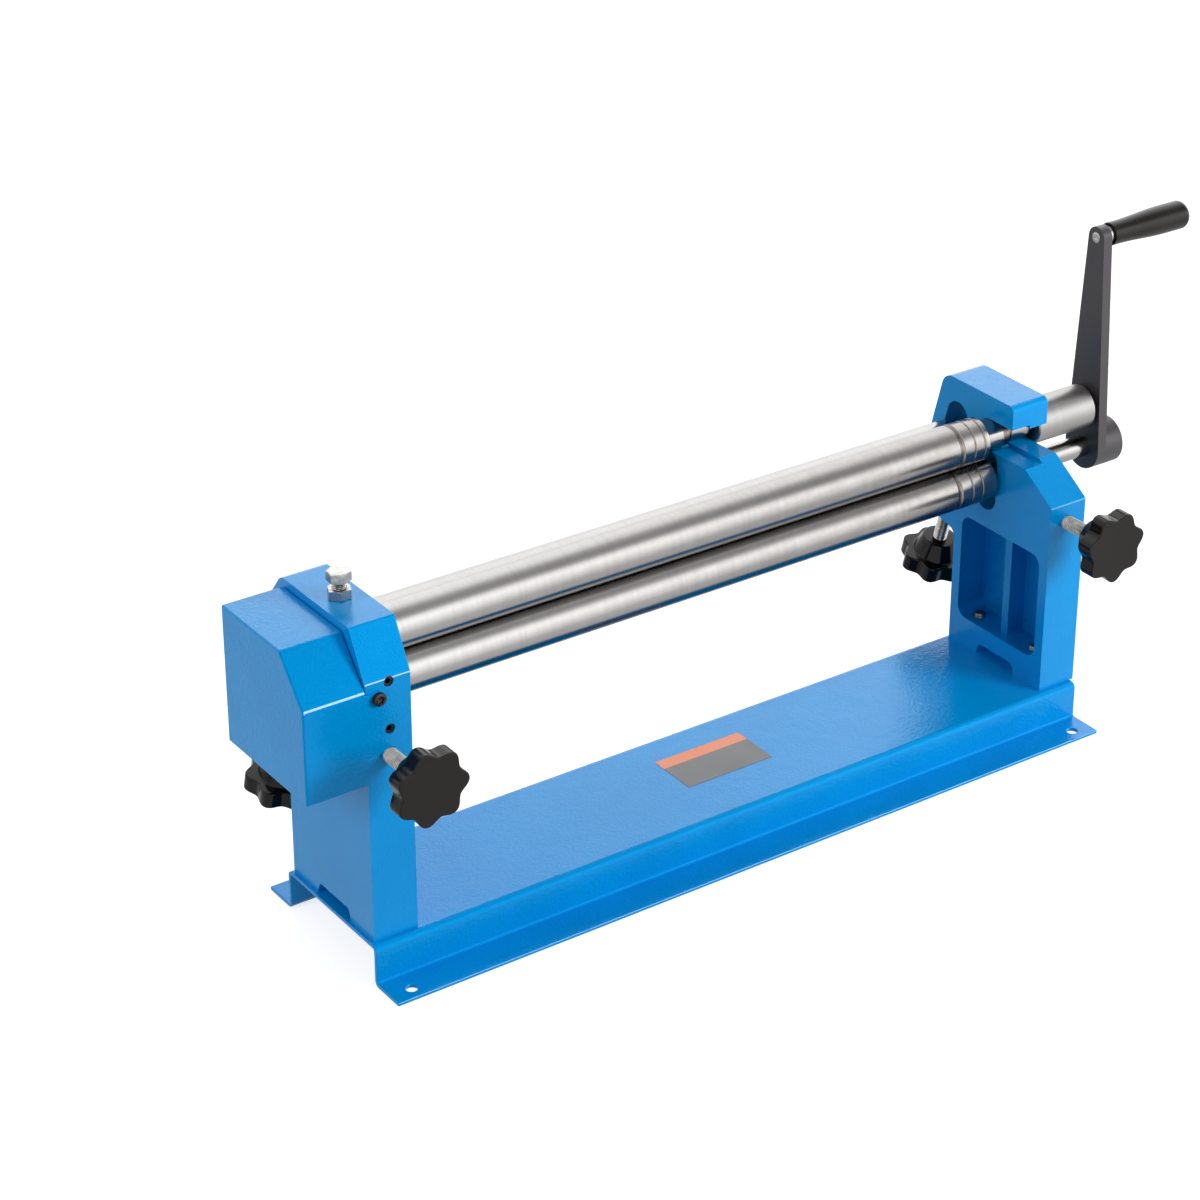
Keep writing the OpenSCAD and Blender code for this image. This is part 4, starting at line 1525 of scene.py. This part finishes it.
@dataclass(frozen=True)
class Step:
    """A length of a shaft.

    Args:
        start: Where it starts along X.
        stop: Where it stops.
        diameter: Its diameter.
        chamfer: Chamfer at both of its ends.
        film: Share of brown painted shade on it.
        satin: Share of a coarse turned finish on it.
    """

    start: float
    stop: float
    diameter: float
    chamfer: float = 0.4
    film: float = 0.0
    satin: float = 0.0


@dataclass(frozen=True)
class Groove:
    """A wire groove round a roll.

    Args:
        x: Its middle along X.
        width: Its width.
        deep: Its depth.
        film: Share of brown painted shade in it.
    """

    x: float
    width: float
    deep: float
    film: float = 0.9


@dataclass(frozen=True)
class Roll:
    """A turned roll with its journals and grooves.

    Args:
        node: The node.
        y: Its axis in Y.
        z: Its axis in Z.
        steps: Its lengths in order.
        grooves: Its wire grooves.
    """

    node: str
    y: float
    z: float
    steps: tuple[Step, ...]
    grooves: tuple[Groove, ...] = ()
    segments: int = 160
    groove_steps: int = 8
    land: float = 0.25
    land_shade: float = 0.3
    rim_share: float = 0.35

    def step_rings(self, step: Step) -> list[Ring]:
        """Rings of one length, with the grooves that lie in it.

        Args:
            step: The length.

        Returns:
            Its rings in order.
        """
        r, c = step.diameter / 2, step.chamfer
        mark = {"film": step.film, "satin": step.satin}
        rings = [Ring(step.start, r - c, **mark), Ring(step.start + c, r, **mark)]
        for groove in (g for g in self.grooves if step.start < g.x < step.stop):
            half = groove.width / 2
            rings.append(Ring(groove.x - half - self.land, r, film=self.land_shade))
            for i in range(self.groove_steps + 1):
                t = -1 + 2 * i / self.groove_steps
                dip = math.sqrt(max(0.0, 1 - t * t))
                # A groove's painted shade is deepest at its bottom and falls to rim_share of that at its
                # edges.
                film = groove.film * (self.rim_share + (1 - self.rim_share) * dip)
                rings.append(Ring(groove.x + half * t, r - groove.deep * dip, film=film))
            rings.append(Ring(groove.x + half + self.land, r, film=self.land_shade))
        rings += [Ring(step.stop - c, r, **mark), Ring(step.stop, r - c, **mark)]
        return rings

    def build(self) -> None:
        """The roll as one turned piece."""
        rings = [Ring(self.steps[0].start, 0.0)]
        for step in self.steps:
            rings += self.step_rings(step)
        rings.append(Ring(self.steps[-1].stop, 0.0))
        piece = turned(f"{self.node}_steel", rings, along((0, self.y, self.z), (1, 0, 0)), self.segments)
        install(piece, self.node, ROLL_STEEL, 25.0)


FRONT_Y, LOWER_Z, TOP_Z, REAR_Y, REAR_Z = 22.5, 199.8, 237.8, 69.0, 214.8
# A step's fifth value is its share of painted shade: the journal lengths in the housing's jaw, where shade
# falls, get most.
GROOVES = (Groove(260.9, 5.0, 0.92), Groove(274.0, 2.0, 0.5), Groove(284.3, 2.0, 0.5))
TOP_ROLL = Roll("top_roll", FRONT_Y, TOP_Z, (
    Step(-369.0, -338.0, 15.0), Step(-338.0, -296.0, 19.0), Step(-296.0, 290.0, 37.0, 0.8),
    Step(290.0, 308.7, 27.0, 0.4, 0.1), Step(308.7, 316.0, 24.0, 0.4, 0.9),
    Step(316.0, 319.5, 19.0, 0.2, 0.9), Step(319.5, 338.0, 21.0, 0.4, 0.15),
    Step(338.0, 343.0, 19.0, 0.2, 0.9), Step(343.0, 404.5, 37.0, 1.0, 0.0, 1.0),
), GROOVES)
LOWER_ROLL = Roll("lower_roll", FRONT_Y, LOWER_Z, (
    Step(-369.0, -338.0, 15.0), Step(-338.0, -296.0, 18.0), Step(-296.0, 300.0, 37.0, 0.8),
    Step(300.0, 434.7, 18.0),
), GROOVES)
REAR_ROLL = Roll("rear_roll", REAR_Y, REAR_Z, (
    Step(-333.0, -296.0, 18.0), Step(-296.0, 300.0, 37.0, 0.8), Step(300.0, 339.0, 18.0),
))


@dataclass(frozen=True)
class Gear:
    """A gear with involute teeth, and its hub.

    Args:
        node: The node.
        z: Its axis in Z.
    """

    node: str
    z: float
    middle_x: float = -358.0
    hub_end: float = -338.0
    width: float = 12.0
    teeth: int = 15
    module: float = 2.5
    pressure: float = 20.0
    loose_share: float = 0.165
    root_share: float = 1.4
    hub_d: float = 27.0
    hub_edge: float = 0.5
    edge: float = 0.25
    bore_d: float = 15.1
    flank_steps: int = 5

    def tooth(self) -> list[Point]:
        """Half-open outline of one tooth sector, as (angle, radius).

        Returns:
            Its points.
        """
        pitch_r = self.module * self.teeth / 2
        base_r = pitch_r * math.cos(math.radians(self.pressure))
        tip_r = pitch_r + self.module
        root_r = pitch_r - self.root_share * self.module

        def roll(r: float) -> float:
            """Involute angle at a radius."""
            a = math.acos(min(1.0, base_r / max(r, base_r)))
            return math.tan(a) - a

        half = math.pi / 2 / self.teeth * (1 - self.loose_share)
        steps = self.flank_steps
        radii = [root_r] + [base_r + (tip_r - base_r) * i / steps for i in range(steps + 1)]
        sides = [(math.pi / self.teeth, root_r)] + [(half + roll(pitch_r) - roll(r), r) for r in radii]
        return [(-a, r) for a, r in sides] + sides[::-1]

    def build(self, rules: Rules) -> None:
        """The toothed wheel from one sector, and its hub.

        Args:
            rules: The trees.
        """
        outline, inner, hub_r, edge = self.tooth(), self.bore_d / 2, self.hub_d / 2, self.hub_edge
        shape = bmesh.new()
        near, far, hole_near, hole_far = (
            [shape.verts.new((x * MM, -r * math.sin(a) * MM, r * math.cos(a) * MM)) for a, r in points]
            for points in (outline, [(a, inner) for a, _ in outline])
            for x in (-self.width / 2, self.width / 2)
        )
        for low, high in ((near, hole_near), (far, hole_far), (near, far), (hole_near, hole_far)):
            for i in range(len(outline) - 1):
                shape.faces.new((low[i], low[i + 1], high[i + 1], high[i]))
        wheel = from_bmesh(f"{self.node}_wheel", shape)
        rules.circle.run(wheel, {"Count": self.teeth, "Material": GEAR_STEEL.material()})
        carried(wheel, Matrix.Translation((self.middle_x, FRONT_Y, self.z)))
        start = self.middle_x + self.width / 2 - edge
        hub = turned(f"{self.node}_hub", [
            Ring(start, inner), Ring(start, hub_r), Ring(self.hub_end - edge, hub_r),
            Ring(self.hub_end, hub_r - edge), Ring(self.hub_end, inner),
        ], along((0, FRONT_Y, self.z), (1, 0, 0)), 90)
        piece = turn_outward(merged(f"{self.node}_steel", [wheel, hub]))
        install(soften(piece, self.edge, 2, 40.0), self.node, GEAR_STEEL, 30.0)


# Screws, knobs and crank

@dataclass(frozen=True)
class Knob:
    """A seven-lobe hand knob with a tapered hub.

    Args:
        node: The node.
        place: Frame at its face, with +Z along its screw.
        turn: Its turn in degrees.
    """

    node: str
    place: Matrix
    turn: float
    diameter: float = 60.0
    wave: float = 2.52
    thick: float = 14.5
    hub_d: float = 30.0
    hub_root_d: float = 40.8
    hub_h: float = 14.5
    bore: float = 12.1
    lobes: int = 7
    edge: float = 1.3
    crown: float = 0.35
    crown_shares: tuple[Point, ...] = ((1.0, 0.0), (0.85, 0.35), (0.3, 0.75))
    rim_rows: tuple[float, ...] = (0.35, 0.6, 0.8)
    foot: tuple[Point, ...] = ((0.0, 0.8), (0.25, -0.1), (1.0, -0.7))
    tip: tuple[Point, ...] = ((-1.5, 0.1), (-0.5, -0.4), (0.0, -1.4))
    mouth: tuple[Point, ...] = ((0.0, 0.5), (-0.5, 0.0), (-2.0, 0.0))

    def rings(self) -> list[Ring]:
        """Section from the face's middle, over the rim, to the bore.

        Returns:
            Its rings in order.
        """
        rim, t, e = self.diameter / 2 - self.wave, self.thick, self.edge
        root, hub, end, hole = self.hub_root_d / 2, self.hub_d / 2, t + self.hub_h, self.bore / 2
        bends = [(e * math.sin(a), e * math.cos(a)) for a in (math.pi / 12 * i for i in range(7))]
        return [
            *(Ring(self.crown * up, rim * out) for up, out in self.crown_shares),
            *(Ring(e - near, rim - e + far) for far, near in bends),
            *(Ring(t * share, rim) for share in self.rim_rows),
            *(Ring(t - e + far, rim - e + near) for far, near in bends[1:]),
            *profile(t, root, self.foot),
            *profile(end, hub, self.tip),
            *profile(end, hole, self.mouth),
            Ring(end + self.mouth[-1][0], 0.0),
        ]

    def build(self, rules: Rules) -> None:
        """The knob, lobed by the rule and set on its screw.

        Args:
            rules: The trees.
        """
        knob = turned(f"{self.node}_black", self.rings(), Matrix.Identity(4), self.lobes * 26)
        rim = self.diameter / 2 - self.wave
        rules.lobes.run(knob, {
            "Lobes": float(self.lobes), "Wave": self.wave * MM, "From": (self.hub_root_d / 2 + 1.0) * MM,
            "To": (rim - self.edge * 0.5) * MM, "Material": PLASTIC.material(),
        })
        carried(knob, self.place @ Matrix.Rotation(math.radians(self.turn), 4, "Z"))
        install(knob, self.node, PLASTIC, 50.0)


@dataclass(frozen=True)
class Setting:
    """The four adjusting screws and their knobs."""

    left_x: float = -316.5
    right_x: float = 322.5
    front_face: float = -56.5
    front_z: float = 185.0
    front_start: float = -43.2
    front_stop: float = 68.5
    front_knob: float = -58.2
    cone_l: float = 15.0
    lean: float = 15.0
    rear_start: float = -124.5
    rear_stop: float = -16.0
    rear_knob: float = -139.5
    diameter: float = 12.0
    pitch: float = 1.75
    cone: tuple[Point, ...] = ((-1.0, -0.9), (0.0, -0.9), (0.05, -0.02))
    front_turns: Span = (0.0, -12.0)
    rear_turns: Span = (8.0, 17.0)

    def front_place(self, x: float) -> Matrix:
        """Frame at the front face with +Z along the screw into the housing."""
        return Matrix.Translation((x, self.front_face, self.front_z)) @ Matrix.Rotation(-math.pi / 2, 4, "X")

    def rear_place(self, x: float) -> Matrix:
        """Frame at the rear roll's axis with +Z up the slot."""
        return Matrix.Translation((x, REAR_Y, REAR_Z)) @ Matrix.Rotation(math.radians(self.lean), 4, "X")

    def rod(self, name: str, rules: Rules, place: Matrix, start: float, stop: float) -> Piece:
        """A threaded rod between two heights of a frame.

        Args:
            name: Name of the object.
            rules: The trees.
            place: The screw's frame.
            start: Where the rod starts in it.
            stop: Where the rod stops in it.

        Returns:
            The object.
        """
        start_place = place @ Matrix.Translation((0, 0, start))
        return Thread(self.diameter, self.pitch, stop - start).build(name, rules, start_place, ZINC)

    def knob(self, end: str, rules: Rules, place: Matrix, height: float, turn: float) -> None:
        """The knob of one screw, at a height of its frame.

        Args:
            end: The screw's end and side, such as front_left.
            rules: The trees.
            place: The screw's frame.
            height: Place of the knob's face in it.
            turn: The knob's turn in degrees.
        """
        Knob(f"{end}_knob", place @ Matrix.Translation((0, 0, height)), turn).build(rules)

    def build(self, rules: Rules) -> None:
        """Screws and knobs.

        Args:
            rules: The trees.
        """
        r, low, high = self.diameter / 2, self.front_stop, self.front_stop + self.cone_l
        foot = profile(low, r, self.cone)
        cone_rings = [Ring(foot[0].height, 0.0), *foot, Ring(high, r / 6), Ring(high, 0.0)]
        sides = (("left", self.left_x), ("right", self.right_x))
        for (side, x), front_turn, rear_turn in zip(sides, self.front_turns, self.rear_turns):
            front, rear = f"front_{side}", f"rear_{side}"
            place = self.front_place(x)
            rod = self.rod(f"{front}_rod", rules, place, self.front_start, low)
            cone = turned(f"{front}_cone", cone_rings, place, 48)
            install(merged(f"{front}_screw_zinc", [rod, cone]), f"{front}_screw", ZINC, SCREW_EDGE)
            self.knob(front, rules, place, self.front_knob, front_turn)
            place = self.rear_place(x)
            rod = self.rod(f"{rear}_screw_zinc", rules, place, self.rear_start, self.rear_stop)
            install(rod, f"{rear}_screw", ZINC, SCREW_EDGE)
            self.knob(rear, rules, place, self.rear_knob, rear_turn)


@dataclass(frozen=True)
class Crank:
    """The crank arm, its pin and the turning grip."""

    arm_x: float = 408.7
    arm_t: float = 9.0
    grip_z: float = 386.8
    rivet_out: float = 0.8
    rivet_d: float = 9.0
    collar_d: float = 15.0
    collar_l: float = 3.8
    pin_d: float = 10.0
    pin_stop: float = 498.3
    grip_x: float = 421.8
    grip_l: float = 82.8
    grip_d: float = 24.0
    neck_d: float = 19.5
    full_share: float = 0.72
    lead_share: float = 0.12
    dimple: tuple[Point, ...] = ((0.7, 0.0), (0.5, 0.8), (0.12, 1.6), (0.0, 2.4))
    rivet_rim: tuple[Point, ...] = ((0.1, -0.6), (0.45, 0.0))
    collar_edge: float = 0.4
    lip: tuple[Point, ...] = ((0.0, -0.8), (0.3, -0.2), (1.0, 0.0))
    grip_mouth: tuple[Point, ...] = ((1.0, 0.0), (0.0, 0.5))
    end_dimple: tuple[Point, ...] = ((0.0, 3.0), (-0.4, 2.4), (-0.4, 0.0))
    play: float = 0.3
    pin_gap: float = 0.1

    def build(self) -> None:
        """Arm, pin and grip."""
        Casting("crank_arm", "cast", CRANK_IRON, 1.3).build()
        Casting("crank_set_screw", "black", BLACK_STEEL, 0.3).build()
        self.pin()
        self.grip()

    def pin(self) -> None:
        """The pin, with its riveted and dimpled end on the arm."""
        face, out = self.arm_x - self.rivet_out, self.arm_x + self.arm_t
        r, collar, pin, edge, stop = (
            self.rivet_d / 2, self.collar_d / 2, self.pin_d / 2, self.collar_edge, out + self.collar_l,
        )
        rings = [
            *profile(face, 0.0, self.dimple), *profile(face, r, self.rivet_rim), Ring(out, r),
            Ring(out, collar - edge), Ring(out + edge, collar), Ring(stop - edge, collar),
            Ring(stop, collar - edge), Ring(stop, pin), Ring(self.pin_stop, pin), Ring(self.pin_stop, 0.0),
        ]
        piece = turned("grip_pin_steel", rings, along((0, FRONT_Y, self.grip_z), (1, 0, 0)), 64)
        install(piece, "grip_pin", ZINC, 30.0)

    def grip(self) -> None:
        """The swelling grip with its rounded end."""
        x, neck, full, hole = self.grip_x, self.neck_d / 2, self.grip_d / 2, self.pin_d / 2 + self.pin_gap
        end, end_r, full_at = x + self.grip_l, self.grip_d / 4, self.grip_l * self.full_share
        deep = self.pin_stop + self.play
        rings = [Ring(deep, 0.0), Ring(deep, hole)]
        rings += profile(x, hole, self.grip_mouth) + profile(x, neck, self.lip)
        for t in (i / 24 for i in range(25)):
            swell = (full - neck) / 2 * (1 - math.cos(math.pi * t))
            rings.append(Ring(x + full_at * (self.lead_share + (1 - self.lead_share) * t), neck + swell))
        for a in (math.pi / 20 * i for i in range(11)):
            rings.append(Ring(end - end_r + end_r * math.sin(a), full - end_r + end_r * math.cos(a)))
        rings += profile(end, 0.0, self.end_dimple)
        piece = turned("hand_grip_black", rings, along((0, FRONT_Y, self.grip_z), (1, 0, 0)))
        install(piece, "hand_grip", GRIP_PLASTIC, 40.0)


# Floor, lamps and camera

@dataclass(frozen=True)
class Lamp:
    """A soft area lamp.

    Args:
        name: Name of the lamp.
        place: Where it hangs, in metres.
        width: Its width in metres.
        height: Its height in metres.
        power: Its power in watts.
        seen_in_gloss: True where gloss mirrors it.
    """

    name: str
    place: Triple
    width: float
    height: float
    power: float
    seen_in_gloss: bool

    def build(self, target: Vector) -> None:
        """The lamp, turned to its target.

        Args:
            target: What it lights.
        """
        data = bpy.data.lights.new(self.name, "AREA")
        data.shape = "RECTANGLE"
        data.size, data.size_y = self.width, self.height
        data.energy = self.power
        lamp = link(self.name, data)
        lamp.location = self.place
        lamp.rotation_euler = (target - lamp.location).to_track_quat("-Z", "Y").to_euler()
        lamp.visible_camera = False
        lamp.visible_glossy = self.seen_in_gloss


@dataclass(frozen=True)
class Studio:
    """White studio: floor with a soft shadow, lamps, and a world with a gloss gradient."""

    floor_half: float = 9.0
    floor_gap: float = 0.0002
    ambient: float = 0.43
    floor_glow: float = 0.74
    floor_tone: float = 0.62
    target: Triple = (0.06, 0.0, 0.2)
    gloss_top: float = 3.9
    gloss_turn: Span = (-0.25, 0.15)
    gloss_right: tuple[Point, ...] = (
        (-180, 1.8), (-165, 1.3), (-145, 1.15), (-127, 0.95), (-113, 0.85), (-99, 0.85), (-85, 1.05),
        (-71, 1.15), (-57, 1.3), (-43, 1.4), (-29, 1.55), (-15, 2.2), (-1, 2.85), (10, 3.4), (22, 3.8),
        (35, 3.2), (45, 1.8), (55, 1.0), (65, 0.88), (76, 0.95), (89, 1.4), (99, 2.1), (109, 2.6),
        (120, 2.95), (138, 3.0), (150, 2.8), (170, 2.0), (180, 1.8),
    )
    gloss_left: tuple[Point, ...] = (
        (-180, 1.2), (-150, 0.75), (-120, 0.8), (-60, 1.0), (-30, 1.3), (0, 1.8), (60, 1.5), (120, 2.2),
        (180, 1.2),
    )

    def lamps(self) -> list[Lamp]:
        """The key at the front right and a weak fill at the left."""
        return [
            Lamp("key_softbox", (1.43, -2.05, 1.03), 0.9, 1.0, 50.0, False),
            Lamp("left_fill", (-2.6, 0.3, 1.3), 1.6, 1.6, 20.0, False),
            Lamp("rear_fill", (0.6, 2.4, 1.9), 1.8, 1.2, 18.0, False),
        ]

    def world(self) -> None:
        """White to the camera, an even tone to surfaces, and soft bands to gloss."""
        made = bpy.data.worlds.new("studio")
        bpy.context.scene.world = made
        graph = Graph.of(made)
        generated = graph.node("ShaderNodeTexCoord", output="Generated")
        way = graph.node("ShaderNodeSeparateXYZ", None, {0: generated})
        angle = graph.math("ARCTAN2", way.other("Z"), 0.0 - way.other("Y"))
        share = graph.span(angle, -math.pi, math.pi)
        right, left = (
            graph.node(
                "ShaderNodeValToRGB",
                {"stops": [((a + 180) / 360, (v / self.gloss_top,) * 3) for a, v in stops]},
                {"Fac": share},
            )
            for stops in (self.gloss_right, self.gloss_left)
        )
        gloss = graph.mix(graph.span(way, *self.gloss_turn), left, right)
        path = graph.node("ShaderNodeLightPath")
        mirror = path.other("Is Glossy Ray").math("MAXIMUM", path.other("Is Transmission Ray"))
        plain = (*WHITE, 1.0)
        bands, even, white = (
            graph.node("ShaderNodeBackground", None, {"Color": colour, "Strength": strength})
            for colour, strength in ((gloss, self.gloss_top), (plain, self.ambient), (plain, 1.0))
        )
        lit = graph.node("ShaderNodeMixShader", None, {0: mirror, 1: even, 2: bands})
        full = graph.node("ShaderNodeMixShader", None, {0: path.other("Is Camera Ray"), 1: lit, 2: white})
        graph.node("ShaderNodeOutputWorld", None, {"Surface": full})

    def floor(self) -> None:
        """A pale floor that reads white and keeps the shadow."""
        shape = bmesh.new()
        bmesh.ops.create_grid(shape, x_segments=1, y_segments=1, size=self.floor_half)
        bmesh.ops.translate(shape, verts=shape.verts, vec=(0, 0, -self.floor_gap))
        ground = from_bmesh("floor", shape)
        made = bpy.data.materials.new("pale_floor")
        graph = Graph.of(made)
        strength = graph.node("ShaderNodeLightPath", output="Is Camera Ray") * self.floor_glow
        plain = graph.node("ShaderNodeBsdfDiffuse", None, {"Color": (*(self.floor_tone,) * 3, 1.0)})
        glow = graph.node("ShaderNodeEmission", None, {"Color": (*WHITE, 1.0), "Strength": strength})
        both = graph.node("ShaderNodeAddShader", None, {0: plain, 1: glow})
        graph.node("ShaderNodeOutputMaterial", None, {"Surface": both})
        ground.data.materials.append(made)
        ground.visible_glossy = False

    def build(self) -> None:
        """World, floor and lamps."""
        self.world()
        self.floor()
        for lamp in self.lamps():
            lamp.build(Vector(self.target))
        bpy.context.scene.view_settings.view_transform = "Standard"


@dataclass(frozen=True)
class Viewpoint:
    """The photograph's camera."""

    yaw: float = 35.79
    pitch: float = 25.97
    roll: float = 0.4685
    place: Triple = (-1.3037, -1.7482, 1.3516)
    focal: float = 3213.0
    frame: float = 1200.0
    centre: Point = (660.0, 480.0)
    sensor: float = 36.0

    def build(self) -> None:
        """The camera, set as the scene's."""
        yaw, pitch, roll = (math.radians(a) for a in (self.yaw, self.pitch, self.roll))
        look = Vector((math.sin(yaw) * math.cos(pitch), math.cos(yaw) * math.cos(pitch), -math.sin(pitch)))
        right = look.cross(Vector((0, 0, 1))).normalized()
        up = right.cross(look)
        right, up = (
            right * math.cos(roll) + up * math.sin(roll), up * math.cos(roll) - right * math.sin(roll)
        )
        data = bpy.data.cameras.new("photo_camera")
        data.sensor_width = self.sensor
        data.lens = self.focal / self.frame * self.sensor
        data.shift_x = 0.5 - self.centre[0] / self.frame
        data.shift_y = self.centre[1] / self.frame - 0.5
        data.clip_start, data.clip_end = 0.05, 60.0
        camera = link("photo_camera", data)
        turn = Matrix((right, up, -look)).transposed()
        camera.matrix_world = Matrix.Translation(self.place) @ turn.to_4x4()
        bpy.context.scene.camera = camera


# Hollows whose faces get painted shade: the two slots in full, the pocket at a quarter.
HOLLOWS = (
    Hollow((FRONT_Y, 182.1), (FRONT_Y, 212.0), 12.5, 1.0),
    Hollow((75.3, 191.2), (62.5, 238.9), 13.5, 1.0),
    Hollow((1.25, 75.0), (1.25, 140.0), 56.0, 0.25),
)
BLOCKS = ("top_left", "lower_left", "lower_right", "rear_left", "rear_right")
SHAFTS = ("top", "lower")
CASTINGS = (
    # The left housing's front fold gets the full painted highlight, the right one's a weaker one.
    Housing("left_housing", "cast", CAST_BLUE, 1.2, -335.0, -298.0, 1.0, HOLLOWS),
    Housing("right_housing", "cast", CAST_BLUE, 1.2, 304.0, 341.0, 0.35, HOLLOWS),
    Casting("block_set_screws", "black", BLACK_STEEL, 0.4),
    *(Casting(f"{place}_block", "bronze", BRONZE, 0.6) for place in BLOCKS),
    *(Casting(f"{shaft}_gear_key", "steel", GEAR_STEEL, 0.3) for shaft in SHAFTS),
    *(Casting(f"{shaft}_gear_ring", "black", BLACK_STEEL, 0.15) for shaft in SHAFTS),
)


def main() -> None:
    """Builds the pieces, then the studio and the camera."""
    logging.basicConfig(level=logging.INFO, format="%(name)s %(message)s")
    rules = Rules()
    Base().build()
    for casting in CASTINGS:
        casting.build()
    GearCover().build()
    for roll in (TOP_ROLL, LOWER_ROLL, REAR_ROLL):
        roll.build()
    for node, z in (("top_gear", TOP_Z), ("lower_gear", LOWER_Z)):
        Gear(node, z).build(rules)
    SocketScrew().build(rules)
    ClampBolt().build(rules)
    HousingBolts().build(rules)
    Setting().build(rules)
    Crank().build()
    Studio().build()
    Viewpoint().build()


if __name__ == "__main__":
    main()
